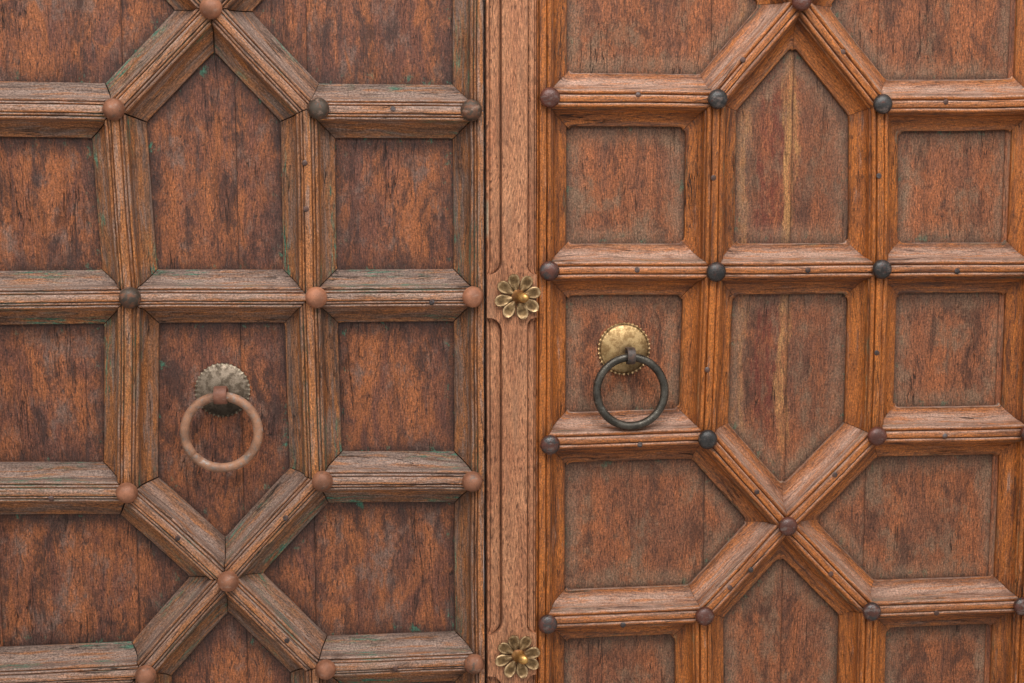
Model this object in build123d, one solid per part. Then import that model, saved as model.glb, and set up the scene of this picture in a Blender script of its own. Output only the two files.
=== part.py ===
from build123d import *
import math
import os

# A double temple door of planks and moulded battens in its timber frame, without the wall, in millimetres.
# X runs across the doorway, Y points indoors and Z up. The origin is the middle of the threshold's
# underside, in the plane of the planks' outer faces.

# Leaf lay-out: bays run from the meeting edge to the hanging edge, and tiers from the bottom rail up
left_bays = [278, 290, 278]
right_bays = [287, 287, 283]
left_tiers = [300, 300, 310, 307, 300, 310, 300, 300]
right_upper_tiers = [307, 284, 280, 307, 290, 292]
cross_tiers = [2, 5]
cross_bay = 1
middle_row = 4
ring_tier = 3
left_edge_band = 4
right_edge_band = 10
rail_band = 6
left_middle_seam = 115
right_middle_seam = 142

# Junctions that sit off the grid, as column and row with their shift along X and Z
left_drift = {(1, 3): (5, 6), (2, 5): (-8, -3), (2, 4): (5, 2), (2, 3): (-6, -6), (2, 2): (8, 2)}
right_drift = {(1, 3): (-6, 4), (1, 2): (-8, 2), (2, 5): (-7, -6), (1.5, 2.5): (-9, 1), (1.5, 5.5): (-6, 6)}

# Studs driven in beside their junctions, as column and row with their shift along X and Z
left_stray = {(1, 5): (19, 1), (1, 4): (11, 0), (1, 3): (11, 0), (1, 2): (17, -2), (0, 4): (2, -1)}
left_stray |= {(1.5, 2.5): (6, -2), (2, 2): (7, -3), (0, 2): (2, -2), (2, 4): (3, 0)}
right_stray = {(0, 3): (2, -4), (1, 3): (-2, -4), (1, 4): (2, -3), (0, 2): (-1, -3)}

# Timber of the leaves
plank_thickness = 35
plank_gap = 0.6
stile_thickness = 45
stile_width = 100
ledge_depth = 40
ledge_height = 60
ledge_end_inset = 8
meeting_gap = 5

# Moulding of the battens
batten_half_width = 43
batten_depth = 38
foot_height = 5
cove_inner = 18
cove_top = 27
cove_facets = 2
bead_half_width = 15
bead_height = 34
crown_half_width = 7
flat_steps = 6

# Studs
stud_radius = 18
stud_height = 17
stud_sides = 8
stud_from_edge = 20
stud_sections = [(0, 1.0), (0.5, 0.86), (1.0, 0.46)]

# Meeting strip and its flowers
strip_width = 82
strip_depth = 44
strip_left_recess = 24
strip_right_recess = 15
strip_recess_depth = 10
strip_block_length = 70
shoulder_sides = 12
flower_pitch = 605
flower_end_margin = 62
flower_from_edge = 50
flower_radius = 39
flower_thickness = 5
flower_boss_radius = 12
flower_boss_height = 26
flower_boss_sections = [(0, 1.3), (0.7, 1.0), (1.0, 0.5)]
flower_petals = 8
petal_root = 10
petal_root_half_width = 4
petal_widest_share = 0.6
petal_half_width = 9.5
petal_tip_half_width = 4
petal_tilt = 14
flower_shank_size = 8
flower_shank_length = 24
flower_shank_clearance = 0.5

# Rings, their staples and their plates
left_ring_radius = 59
left_wire_radius = 7.5
left_strap_width = 21
left_ring_out = 30
left_plate_rise = 0
left_eye_drop = 4
left_eye_shift = 0
right_ring_radius = 57.5
right_wire_radius = 7
right_strap_width = 14
right_ring_out = 28
right_plate_rise = 8
right_eye_drop = 9
right_eye_shift = 6
ring_segments = 28
wire_sides = 8
strap_thickness = 4.5
eye_play = 3
eye_sides = 16
seat_clearance = 0.3
clench_length = 38
plate_radius = 46
plate_scallops = 36
plate_scallop_depth = 2.5
plate_rim_thickness = 3
plate_dome_radius = 39
plate_dome_height = 13
plate_dome_sides = 16
plate_dome_sections = [(0, 1.0), (0.65, 0.78), (1.0, 0.42)]
slot_clearance = 0.5

# Frame
jamb_back_width = 72
frame_front = 80
frame_back = 95
lip_cover = 34
lip_play = 4
lip_gap = 3
rebate_play = 4.5
foot_cover = 26
step_height = 85
leaf_clearance = 6
lintel_height = 110
tenon_width = 36
tenon_front = 50
tenon_back = 20
tenon_length = 60
tenon_clearance = 0.3
peg_radius = 9
peg_sides = 8
peg_depth = 26
peg_clearance = 0.2
peg_stub = 3

# Pivots
pintle_radius = 11
pintle_grip = 34
pintle_clearance = 0.06
tang_size = 15
tang_length = 80
socket_wall = 9
socket_floor = 6
fit_clearance = 0.1


def leaf_width(bays, edge_band, cover):
    """The width of a leaf from its meeting edge to its hanging edge."""
    return cover + edge_band + sum(bays) + edge_band + lip_play + lip_cover


left_width = leaf_width(left_bays, left_edge_band, 0)
right_width = leaf_width(right_bays, right_edge_band, strip_width)
half_opening = (left_width + meeting_gap + right_width) / 2
meeting_x = (left_width - right_width) / 2
pivot_y = stile_thickness / 2
pivot_x = half_opening - pivot_y
rebate_x = half_opening + rebate_play
frame_half = rebate_x + jamb_back_width

# The right leaf's two bottom tiers share what its upper tiers leave of the left leaf's height
right_bottom_tier = (sum(left_tiers) - sum(right_upper_tiers)) / 2
right_tiers = [right_bottom_tier, right_bottom_tier] + right_upper_tiers

leaf_bottom = step_height + leaf_clearance
field_bottom = leaf_bottom + foot_cover + lip_play
field_top = field_bottom + rail_band + sum(left_tiers) + rail_band
leaf_top = field_top + lip_play + lip_cover
leaf_height = leaf_top - leaf_bottom
threshold_height = leaf_bottom + foot_cover
jamb_top = leaf_top - lip_cover
head_z = leaf_top + leaf_clearance
door_height = head_z + lintel_height


class Leaf:
    """The lay-out of one leaf. Its side is -1 on the left and 1 on the right."""

    def __init__(self, name, side, bays, tiers, edge_band, cover, middle_seam, drift, stray):
        self.name = name
        self.side = side
        self.edge_band = edge_band
        self.cover = cover
        self.drift = drift
        self.stray = stray
        self.width = leaf_width(bays, edge_band, cover)
        self.columns = [cover + edge_band + sum(bays[:n]) for n in range(len(bays) + 1)]
        first_row = field_bottom + rail_band
        self.rows = [first_row + sum(tiers[:n]) for n in range(len(tiers) + 1)]
        self.seam = self.columns[cross_bay] + middle_seam

    def x(self, distance):
        """The X of a point this far from the leaf's meeting edge."""
        return meeting_x + self.side * (meeting_gap / 2 + distance)

    def box(self, near, far, y_low, y_high, z_low, z_high):
        """A block between two distances from the meeting edge."""
        low, high = sorted((self.x(near), self.x(far)))
        return between(low, high, y_low, y_high, z_low, z_high)

    def junction(self, key):
        """The X and Z of a junction, given as column and row. A cross's centre has halves in both."""
        column, row = key
        across = (self.columns[math.floor(column)] + self.columns[math.ceil(column)]) / 2
        up = (self.rows[math.floor(row)] + self.rows[math.ceil(row)]) / 2
        shift_x, shift_z = self.drift.get(key, (0, 0))
        return self.x(across) + shift_x, up + shift_z

    def stud(self, key):
        """The X and Z of a junction's stud, which keeps its distance from the edges of the field."""
        column, row = key
        x, z = self.junction(key)
        inset = stud_from_edge - self.edge_band
        x += self.side * inset * ((column == 0) - (column == len(self.columns) - 1))
        z += (stud_from_edge - rail_band) * ((row == 0) - (row == len(self.rows) - 1))
        shift_x, shift_z = self.stray.get(key, (0, 0))
        return x + shift_x, z + shift_z


left_leaf = Leaf(
    "left", -1, left_bays, left_tiers, left_edge_band, 0, left_middle_seam, left_drift, left_stray
)
right_leaf = Leaf(
    "right", 1, right_bays, right_tiers, right_edge_band, strip_width, right_middle_seam, right_drift, right_stray
)

nodes = {}


def add(name, *shapes):
    """Puts the solids of these shapes in the named node."""
    for shape in shapes:
        nodes.setdefault(name, []).extend(shape.solids())


def facing_out(x, z, out=0):
    """A plane on the planks' outer face, or that far in front of it, with its normal pointing outdoors."""
    return Plane(origin=(x, -out, z), x_dir=(1, 0, 0), z_dir=(0, -1, 0))


def between(x_low, x_high, y_low, y_high, z_low, z_high):
    """A block between these limits."""
    block = Box(x_high - x_low, y_high - y_low, z_high - z_low, align=(Align.MIN,) * 3)
    return Pos(x_low, y_low, z_low) * block


def polygon(points):
    """A flat face with these corners."""
    return make_face(Polyline(*points, close=True).edges())


def faceted_dome(radius, height, sides, sections):
    """A many-sided dome in flat tiers. Each section is a share of the height and a share of the radius."""
    dome = None
    for (low, wide), (high, narrow) in zip(sections, sections[1:]):
        rise = (high - low) * height
        inward = (wide - narrow) * radius * math.cos(math.pi / sides)
        taper = math.degrees(math.atan2(inward, rise))
        tier = extrude(Pos(0, 0, low * height) * RegularPolygon(wide * radius, sides), rise, taper=taper)
        dome = tier if dome is None else dome + tier
    return dome


# Battens


def lay_out_battens(leaf):
    """Each batten of a leaf, as its node and its two junctions."""
    open_rows = [row for tier in cross_tiers for row in (tier, tier + 1)]
    last_column = len(leaf.columns) - 1
    battens = []
    for row in range(len(leaf.rows)):
        for bay in range(last_column):
            if bay in (0, last_column - 1) or row not in open_rows:
                battens.append((f"{leaf.name}_rail_{row + 1}", (bay, row), (bay + 1, row)))
    for column in range(len(leaf.columns)):
        for tier in range(len(leaf.rows) - 1):
            if column in (0, last_column) or tier not in cross_tiers:
                battens.append((f"{leaf.name}_upright_{column + 1}", (column, tier), (column, tier + 1)))
    for number, tier in enumerate(cross_tiers, 1):
        centre = (cross_bay + 0.5, tier + 0.5)
        for column in (cross_bay, cross_bay + 1):
            for row in (tier, tier + 1):
                battens.append((f"{leaf.name}_cross_{number}", centre, (column, row)))
    return battens


def heading(start, end):
    """The direction from one point to another, in degrees."""
    return math.degrees(math.atan2(end[1] - start[1], end[0] - start[0])) % 360


def find_spokes(leaf, battens):
    """The directions of the battens that leave each junction."""
    spokes = {}
    for _, start, end in battens:
        for here, there in ((start, end), (end, start)):
            direction = heading(leaf.junction(here), leaf.junction(there))
            spokes.setdefault(here, []).append(direction)
    return spokes


def mitre_setbacks(direction, others):
    """How far the left and right corners of a batten's end lie past its junction, by the mitre's angle."""
    turns = [(other - direction) % 360 for other in others if other != direction]
    left_angle = math.radians(min(turns) / 2)
    right_angle = math.radians((360 - max(turns)) / 2)
    return batten_half_width / math.tan(left_angle), batten_half_width / math.tan(right_angle)


def moulding_half():
    """Half of the batten's outline, from its foot over a cove and a bead to its flat crown."""
    half = [(batten_half_width, 0)]
    for step in range(cove_facets + 1):
        turn = math.radians(90 * step / cove_facets)
        across = batten_half_width - (batten_half_width - cove_inner) * math.sin(turn)
        out = cove_top - (cove_top - foot_height) * math.cos(turn)
        half.append((across, out))
    return half + [(bead_half_width, bead_height), (crown_half_width, batten_depth)]


def moulding_points():
    """Points spread along each flat of half of the batten's outline."""
    half = moulding_half()
    points = [half[-1]]
    for (wide, low), (narrow, high) in zip(half, half[1:]):
        for step in range(flat_steps):
            share = step / flat_steps
            points.append((wide + share * (narrow - wide), low + share * (high - low)))
    return points


def moulding_face():
    """The batten's section across Y, with Z out of the leaf."""
    half = moulding_half()
    mirrored = [(-across, out) for across, out in reversed(half)]
    return Plane.YZ * polygon(half + mirrored)


def make_batten(leaf, start, end, spokes):
    """One moulded batten between two junctions, mitred against its neighbours and cut at the field's edge."""
    here, there = leaf.junction(start), leaf.junction(end)
    length = math.dist(here, there)
    direction = heading(here, there)
    near_left, near_right = mitre_setbacks(direction, spokes[start])
    far_right, far_left = mitre_setbacks(heading(there, here), spokes[end])
    wide = batten_half_width
    outline = polygon(
        [
            (0, 0),
            (near_right, -wide),
            (length - far_right, -wide),
            (length, 0),
            (length - far_left, wide),
            (near_left, wide),
        ]
    )
    spare = 2 * wide
    bar = Pos(-spare, 0, 0) * extrude(moulding_face(), length + 2 * spare)
    bar &= extrude(outline, batten_depth)
    along = (math.cos(math.radians(direction)), 0, math.sin(math.radians(direction)))
    bar = Plane(origin=(here[0], 0, here[1]), x_dir=along, z_dir=(0, -1, 0)) * bar
    last = leaf.columns[-1] + leaf.edge_band
    return bar & leaf.box(leaf.cover, last, -batten_depth, 0, field_bottom, field_top)


def add_battens(leaf):
    """The rails, uprights and crosses of a leaf, and the key of each of its studs."""
    battens = lay_out_battens(leaf)
    spokes = find_spokes(leaf, battens)
    for name, start, end in battens:
        add(name, make_batten(leaf, start, end, spokes))
    return list(spokes)


# Studs


def add_studs(leaf, keys):
    """A domed, faceted stud head on each junction of the battens."""
    head = faceted_dome(stud_radius, stud_height, stud_sides, stud_sections)
    for key in keys:
        x, z = leaf.stud(key)
        add(f"{leaf.name}_studs", facing_out(x, z, batten_depth) * head)


# Boards


def add_boards(leaf):
    """The hanging stile, the planks and the ledges of a leaf, with holes for the pintles and the staple."""
    inner = leaf.width - stile_width
    centre = leaf.width - pivot_y
    stile = leaf.box(inner, centre, 0, stile_thickness, leaf_bottom, leaf_top)
    rounded = Cylinder(pivot_y, leaf_height, align=(Align.CENTER, Align.CENTER, Align.MIN))
    stile += Pos(leaf.x(centre), pivot_y, leaf_bottom) * rounded
    hole_size = tang_size + 2 * fit_clearance
    for z in (leaf_bottom, leaf_top):
        stile -= Pos(leaf.x(centre), pivot_y, z) * Box(hole_size, hole_size, 2 * tang_length)
    add(f"{leaf.name}_hanging_stile", stile)
    seams = [0, leaf.columns[cross_bay], leaf.seam, leaf.columns[cross_bay + 1], inner]
    for number in range(1, len(seams)):
        near, far = seams[number - 1], seams[number] - plank_gap
        plank = leaf.box(near, far, 0, plank_thickness, leaf_bottom, leaf_top)
        add(f"{leaf.name}_plank_{number}", plank - staple_slot(leaf))
    back = plank_thickness + ledge_depth
    for row in leaf.rows:
        low, high = row - ledge_height / 2, row + ledge_height / 2
        add(f"{leaf.name}_ledges", leaf.box(ledge_end_inset, inner, plank_thickness, back, low, high))


def add_pintles(leaf):
    """The iron pins that turn in the frame's sockets, each held in an end of the hanging stile by its tang."""
    reach = leaf_clearance + pintle_grip - seat_clearance
    pin = Cylinder(pintle_radius, reach, align=(Align.CENTER, Align.CENTER, Align.MIN))
    pin += Box(tang_size, tang_size, tang_length, align=(Align.CENTER, Align.CENTER, Align.MAX))
    x = leaf.x(leaf.width - pivot_y)
    lower = Pos(x, pivot_y, leaf_bottom) * Rot(180, 0, 0) * pin
    upper = Pos(x, pivot_y, leaf_top) * pin
    add(f"{leaf.name}_pintles", lower, upper)


# Rings


class Ring:
    """The sizes and place of a leaf's ring. Its pivot is the wire's centre at the top."""

    def __init__(self, leaf, bay, radius, wire, strap, out, rise, drop, shift):
        self.radius = radius
        self.wire = wire
        self.strap = strap
        self.out = out
        self.plate_x = leaf.x((leaf.columns[bay] + leaf.columns[bay + 1]) / 2)
        self.x = self.plate_x + shift
        self.z = (leaf.rows[ring_tier] + leaf.rows[ring_tier + 1]) / 2 + rise
        self.eye_z = self.z - drop
        self.eye_radius = wire + eye_play
        sag = radius - math.sqrt(radius**2 - (strap / 2) ** 2)
        self.pivot_z = self.eye_z - (eye_play - sag - seat_clearance)
        (x, z), (next_x, next_z) = [leaf.junction((column, ring_tier)) for column in (bay, bay + 1)]
        self.lean = self.rest_angle(z + (self.x - x) / (next_x - x) * (next_z - z))

    def rest_angle(self, rail_z):
        """How far the ring leans out of plumb, in degrees, to clear the moulding of the rail below it."""
        reach = 2 * self.radius
        contact = self.wire + seat_clearance
        angles = [0]
        for across, out in moulding_points():
            forward = out - self.out
            down = self.pivot_z - rail_z - across
            distance = math.hypot(forward, down)
            towards_corner = math.atan2(forward, down)
            if distance < reach:
                angles.append(towards_corner + math.asin(contact / distance))
            elif distance < reach + contact:
                share = (reach**2 + distance**2 - contact**2) / (2 * reach * distance)
                angles.append(towards_corner + math.acos(share))
        return math.degrees(max(angles))


left_ring_sizes = (left_ring_radius, left_wire_radius, left_strap_width, left_ring_out)
right_ring_sizes = (right_ring_radius, right_wire_radius, right_strap_width, right_ring_out)
rings = {
    "left": Ring(left_leaf, cross_bay, *left_ring_sizes, left_plate_rise, left_eye_drop, left_eye_shift),
    "right": Ring(right_leaf, 0, *right_ring_sizes, right_plate_rise, right_eye_drop, right_eye_shift),
}


def staple_slot(leaf):
    """The slot through the plate and the planks for the two legs of a ring's staple."""
    ring = rings[leaf.name]
    half_wide = ring.strap / 2 + slot_clearance
    half_tall = strap_thickness + slot_clearance
    front = -plate_dome_height - slot_clearance
    low, high = ring.z - half_tall, ring.z + half_tall
    return between(ring.x - half_wide, ring.x + half_wide, front, plank_thickness, low, high)


def add_plate(leaf):
    """The ring's plate: a low faceted dome with a scalloped rim."""
    ring = rings[leaf.name]
    corners = []
    for number in range(2 * plate_scallops):
        turn = math.pi * number / plate_scallops
        radius = plate_radius - plate_scallop_depth * (number % 2)
        corners.append((radius * math.cos(turn), radius * math.sin(turn)))
    rise = plate_dome_height - plate_rim_thickness
    dome = faceted_dome(plate_dome_radius, rise, plate_dome_sides, plate_dome_sections)
    plate = extrude(polygon(corners), plate_rim_thickness) + Pos(0, 0, plate_rim_thickness) * dome
    add(f"{leaf.name}_ring_plate", facing_out(ring.plate_x, ring.z) * plate - staple_slot(leaf))


def add_staple(leaf):
    """The strap bent round the ring's wire, with its two legs through the planks and clenched behind them."""
    ring = rings[leaf.name]
    back = plank_thickness + strap_thickness
    eye_place = Pos(-ring.out, ring.eye_z - ring.z)
    eye = eye_place * RegularPolygon(ring.eye_radius + strap_thickness, eye_sides, major_radius=False)
    bore = eye_place * RegularPolygon(ring.eye_radius, eye_sides, major_radius=False)
    legs = Pos((back - ring.out) / 2, 0) * Rectangle(back + ring.out, 2 * strap_thickness)
    clench = Pos(back - strap_thickness / 2, 0) * Rectangle(strap_thickness, 2 * clench_length)
    section = eye + legs + clench - bore
    strap = extrude(Plane.YZ * section, ring.strap / 2, both=True)
    add(f"{leaf.name}_ring_staple", Pos(ring.x, 0, ring.z) * strap)


def add_ring(leaf):
    """The pull ring, hanging from its staple."""
    ring = rings[leaf.name]
    path = Wire.make_polygon([Vector(*point) for point in ring_corners(ring)], close=True)
    start = path.edges()[0]
    section = Plane(origin=start @ 0.5, x_dir=(0, 1, 0), z_dir=start % 0.5)
    wire = sweep(section * RegularPolygon(ring.wire, wire_sides), path=path, transition=Transition.RIGHT)
    hung = Pos(ring.x, -ring.out, ring.pivot_z) * Rot(-ring.lean, 0, 0) * Pos(0, 0, -ring.radius)
    add(f"{leaf.name}_ring", hung * wire)


def ring_corners(ring):
    """The corners of the ring's centre line, with a straight run at the top and at the bottom."""
    corners = []
    for number in range(ring_segments):
        turn = math.tau * (number + 0.5) / ring_segments
        radius = ring.radius / math.cos(math.pi / ring_segments)
        corners.append((radius * math.sin(turn), 0, radius * math.cos(turn)))
    return corners


# Meeting strip and flowers


def flower_heights(leaf):
    """The heights of the flowers: three about the middle row and one by each end of the strip."""
    middle = leaf.rows[middle_row]
    ends = [field_bottom + flower_end_margin, field_top - flower_end_margin]
    return sorted([middle - flower_pitch, middle, middle + flower_pitch] + ends)


def strip_recess(leaf, edge, inner, low, high):
    """A sunk margin from the strip's edge to its raised middle, between two blocks with faceted shoulders."""
    sunk = leaf.box(edge, inner, -strip_depth, strip_recess_depth - strip_depth, low, high)
    for z in (low, high):
        shoulder = extrude(RegularPolygon(abs(inner - edge), shoulder_sides), strip_depth, both=True)
        sunk -= facing_out(leaf.x(inner), z) * shoulder
    return sunk


def add_strip(leaf, heights):
    """The meeting strip: a raised middle between two sunk margins, and a plain block under each flower."""
    strip = leaf.box(0, strip_width, -strip_depth, 0, field_bottom, field_top)
    half_block = strip_block_length / 2
    for below, above in zip(heights, heights[1:]):
        low, high = below + half_block, above - half_block
        strip -= strip_recess(leaf, 0, strip_left_recess, low, high)
        strip -= strip_recess(leaf, strip_width, strip_width - strip_right_recess, low, high)
    for z in heights:
        strip -= flower_place(leaf, z) * flower_shank(flower_shank_clearance)
    add("meeting_strip", strip)


def flower_place(leaf, z):
    """The place of a flower on the strip's face at this height."""
    return facing_out(leaf.x(flower_from_edge), z, strip_depth)


def flower_shank(clearance):
    """The square nail of a flower, or its hole."""
    size = flower_shank_size + clearance
    return Box(size, size, flower_shank_length + clearance, align=(Align.CENTER, Align.CENTER, Align.MAX))


def petal_solid():
    """One petal along X, widest past its middle and tilted up towards its tip."""
    length = flower_radius - petal_root
    widest = petal_widest_share * length
    halves = [(0, petal_root_half_width), (widest, petal_half_width), (length, petal_tip_half_width)]
    outline = [(along, -half) for along, half in halves] + [(along, half) for along, half in reversed(halves)]
    petal = extrude(polygon(outline), flower_thickness)
    return Pos(petal_root, 0, 0) * Rot(0, -petal_tilt, 0) * petal


def flower_solid():
    """A cast flower: tilted petals round a faceted boss, with its nail behind."""
    petal = petal_solid()
    flower = faceted_dome(flower_boss_radius, flower_boss_height, flower_petals, flower_boss_sections)
    flower += [Rot(0, 0, 360 * n / flower_petals) * petal for n in range(flower_petals)]
    return flower + flower_shank(0)


def add_flowers(leaf, heights):
    """The brass flowers down the middle of the strip."""
    flower = flower_solid()
    for z in heights:
        add("strip_flowers", flower_place(leaf, z) * flower)


# Frame


def tenons(side, clearance=0):
    """The tenons at both ends of a jamb, or their mortises."""
    middle = side * (rebate_x + frame_half) / 2
    half = tenon_width / 2 + clearance
    low, high = threshold_height - tenon_length - clearance, jamb_top + tenon_length + clearance
    front, back = -tenon_front - clearance, tenon_back + clearance
    lower = between(middle - half, middle + half, front, back, low, threshold_height)
    upper = between(middle - half, middle + half, front, back, jamb_top, high)
    return [lower, upper]


def pegs(clearance=0):
    """The faceted pegs through the four tenons, slightly proud in front, or their holes."""
    length = frame_front + stile_thickness + peg_stub + clearance
    section = RegularPolygon(peg_radius + clearance, peg_sides, major_radius=False)
    peg = extrude(section, -length)
    found = []
    for side in (-1, 1):
        middle = side * (rebate_x + frame_half) / 2
        for z in (threshold_height - peg_depth, jamb_top + peg_depth):
            found.append(facing_out(middle, z, frame_front + peg_stub) * peg)
    return found


def add_jambs():
    """The jambs, rebated for the hanging stiles, with a tenon at each end."""
    for name, side in (("left_jamb", -1), ("right_jamb", 1)):
        corners = [
            (half_opening - lip_cover, -frame_front),
            (frame_half, -frame_front),
            (frame_half, stile_thickness),
            (rebate_x, stile_thickness),
            (rebate_x, -lip_gap),
            (half_opening - lip_cover, -lip_gap),
        ]
        section = polygon([(side * x, y) for x, y in corners])
        jamb = Pos(0, 0, threshold_height) * extrude(section, jamb_top - threshold_height, dir=(0, 0, 1))
        jamb += tenons(side)
        add(name, jamb - pegs(peg_clearance))


def leaf_recess(z_low, z_high):
    """The space behind the lip of the threshold or the lintel, and right across behind the jambs."""
    inside = between(-rebate_x, rebate_x, -lip_gap, frame_back, z_low, z_high)
    behind = between(-frame_half, frame_half, stile_thickness, frame_back, z_low, z_high)
    return inside + behind


def sockets(clearance=0):
    """The bored iron blocks that hold the pintles, two below and two above, or their holes."""
    size = 2 * (pintle_radius + socket_wall + clearance)
    depth = pintle_grip + socket_floor + clearance
    cup = Box(size, size, depth, align=(Align.CENTER, Align.CENTER, Align.MAX))
    if clearance == 0:
        bore_radius = pintle_radius + pintle_clearance
        cup -= Cylinder(bore_radius, pintle_grip, align=(Align.CENTER, Align.CENTER, Align.MAX))
    lower = [Pos(side * pivot_x, pivot_y, step_height) * cup for side in (-1, 1)]
    upper = [Pos(side * pivot_x, pivot_y, head_z) * Rot(180, 0, 0) * cup for side in (-1, 1)]
    return lower + upper


def add_threshold_and_lintel():
    """The two cross timbers of the frame, each with a lip in front of the leaves."""
    cuts = tenons(-1, tenon_clearance) + tenons(1, tenon_clearance) + pegs(peg_clearance)
    cuts += sockets(fit_clearance)
    sill = between(-frame_half, frame_half, -frame_front, frame_back, 0, threshold_height)
    add("threshold", sill - leaf_recess(step_height, threshold_height) - cuts)
    head = between(-frame_half, frame_half, -frame_front, frame_back, jamb_top, door_height)
    add("lintel", head - leaf_recess(jamb_top, head_z) - cuts)
    add("pivot_sockets", *sockets())
    add("frame_pegs", *pegs())


def add_leaf(leaf):
    """Everything that turns with a leaf, and its ring."""
    keys = add_battens(leaf)
    add_studs(leaf, keys)
    add_boards(leaf)
    add_pintles(leaf)
    add_plate(leaf)
    add_staple(leaf)
    add_ring(leaf)


def main():
    add_jambs()
    add_threshold_and_lintel()
    for leaf in (left_leaf, right_leaf):
        add_leaf(leaf)
    heights = flower_heights(left_leaf)
    add_strip(right_leaf, heights)
    add_flowers(right_leaf, heights)
    os.makedirs("parts", exist_ok=True)
    for name, solids in nodes.items():
        export_step(Compound(children=solids), f"parts/{name}.step")


main()
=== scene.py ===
"""The looks of a carved temple door: weathered mouldings, boards, iron studs, rings and brass flowers."""

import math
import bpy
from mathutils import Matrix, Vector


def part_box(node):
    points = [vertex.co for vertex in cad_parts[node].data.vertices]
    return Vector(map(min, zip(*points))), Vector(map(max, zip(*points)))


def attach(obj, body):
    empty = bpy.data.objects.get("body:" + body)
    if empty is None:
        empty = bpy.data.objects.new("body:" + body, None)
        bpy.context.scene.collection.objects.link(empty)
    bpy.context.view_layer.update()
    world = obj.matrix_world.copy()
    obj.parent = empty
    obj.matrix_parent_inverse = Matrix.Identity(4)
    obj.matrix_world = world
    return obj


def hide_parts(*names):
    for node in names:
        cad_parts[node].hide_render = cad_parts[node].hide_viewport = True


bl_info = {
    "name": "Carved Temple Door",
    "version": (1, 0, 0),
    "blender": (4, 5, 0),
    "location": "View3D > Sidebar > Temple Door",
    "description": "Dresses a pivot-hung double door in worn wood, iron and brass",
    "category": "Add Mesh",
}

import bpy
import numpy as np
from bpy.props import FloatProperty, FloatVectorProperty, IntProperty, PointerProperty

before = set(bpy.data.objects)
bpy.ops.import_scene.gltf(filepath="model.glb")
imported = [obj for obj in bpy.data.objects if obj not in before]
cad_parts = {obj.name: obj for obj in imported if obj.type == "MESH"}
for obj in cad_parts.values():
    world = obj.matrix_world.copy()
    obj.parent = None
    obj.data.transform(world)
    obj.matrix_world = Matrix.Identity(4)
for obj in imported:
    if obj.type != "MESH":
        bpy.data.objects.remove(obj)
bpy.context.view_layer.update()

MM = 0.001

# Lay-out of the battens, in millimetres, from the meeting edge and from the bottom rail
SIDES = {"left": -1, "right": 1}
BAYS = {"left": (278, 290, 278), "right": (287, 287, 283)}
TIERS = {
    "left": (300, 300, 310, 307, 300, 310, 300, 300),
    "right": (333.5, 333.5, 307, 284, 280, 307, 290, 292),
}
CROSS_TIERS = (2, 5)
EDGE_BAND = {"left": 4, "right": 10}
RAIL_BAND = 6
HALF_WIDTH = 43
STUD_INSET = 20

# How far junctions lie off the grid, and studs off their junctions
DRIFT = {
    "left": {(1, 3): (5, 6), (2, 5): (-8, -3), (2, 4): (5, 2), (2, 3): (-6, -6), (2, 2): (8, 2)},
    "right": {(1, 3): (-6, 4), (1, 2): (-8, 2), (2, 5): (-7, -6), (1.5, 2.5): (-9, 1), (1.5, 5.5): (-6, 6)},
}
STRAY = {
    "left": {
        (1, 5): (19, 1), (1, 4): (11, 0), (1, 3): (11, 0), (1, 2): (17, -2), (0, 4): (2, -1),
        (1.5, 2.5): (6, -2), (2, 2): (7, -3), (0, 2): (2, -2), (2, 4): (3, 0),
    },
    "right": {(0, 3): (2, -4), (1, 3): (-2, -4), (1, 4): (2, -3), (0, 2): (-1, -3)},
}

# Studs that are blackened instead of rusty, and those that are the most rusty
BLACKENED = {
    "left": {(1, 5), (0, 5), (2, 4), (1, 7), (3, 2)},
    "right": {(1, 5), (2, 5), (1, 4), (2, 4), (1, 3), (3, 4), (2, 7), (1, 1)},
}
RUSTIEST = {"left": {(0, 4), (1, 4)}, "right": set()}

# Nails seen on the mouldings, as X and Z in millimetres
NAILS = {
    "left": [
        (-200, 1645), (-140, 1335), (-341, 1559), (-340, 1486), (-381, 983),
        (-555, 954), (-383, 776), (-205, 721), (-752, 1024),
    ],
    "right": [
        (199, 1386), (207, 1093), (198, 1671), (326, 1537), (609, 1541), (490, 1384), (751, 1381),
        (721, 1664), (372, 1729), (541, 1744), (320, 1218), (614, 1243), (740, 1098), (410, 1008),
        (546, 1034), (402, 872), (366, 842), (544, 861), (736, 785), (181, 783),
    ],
}

# The part of the door that the nails above were seen in, in metres: X from and to, Z from and to
SEEN = (-0.780, 0.830, 0.700, 1.830)

# Heights above the boards at which studs and nails sit, and the strip's own height, in millimetres
STUD_SEAT = 38
NAIL_SEAT = 36.9
STRIP_HEIGHT = 44


def clamp(values, low=0.0, high=1.0):
    return np.minimum(np.maximum(values, low), high)


def smooth(values, low, high):
    """Rises from 0 at low to 1 at high along 3t^2 - 2t^3."""
    t = clamp((values - low) / (high - low))
    return t * t * (3 - 2 * t)


def hump(values, middle, width):
    """A bell: e to the power of minus the square of the distance from the middle in widths."""
    return np.exp(-(((values - middle) / width) ** 2))


def ripple(u, v, seed, count=9):
    """An uneven field of about -1 to 1: the scaled sum of sine waves with seeded headings, pitches and phases."""
    rng = np.random.default_rng(seed)
    heading = rng.uniform(0, math.tau, count)
    pitch = rng.uniform(0.45, 2.2, count)
    phase = rng.uniform(0, math.tau, count)
    u, v = np.broadcast_arrays(u, v)
    waves = np.multiply.outer(u, pitch * np.cos(heading)) + np.multiply.outer(v, pitch * np.sin(heading))
    return np.sin(waves + phase).sum(-1) / math.sqrt(count) * 0.9


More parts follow.
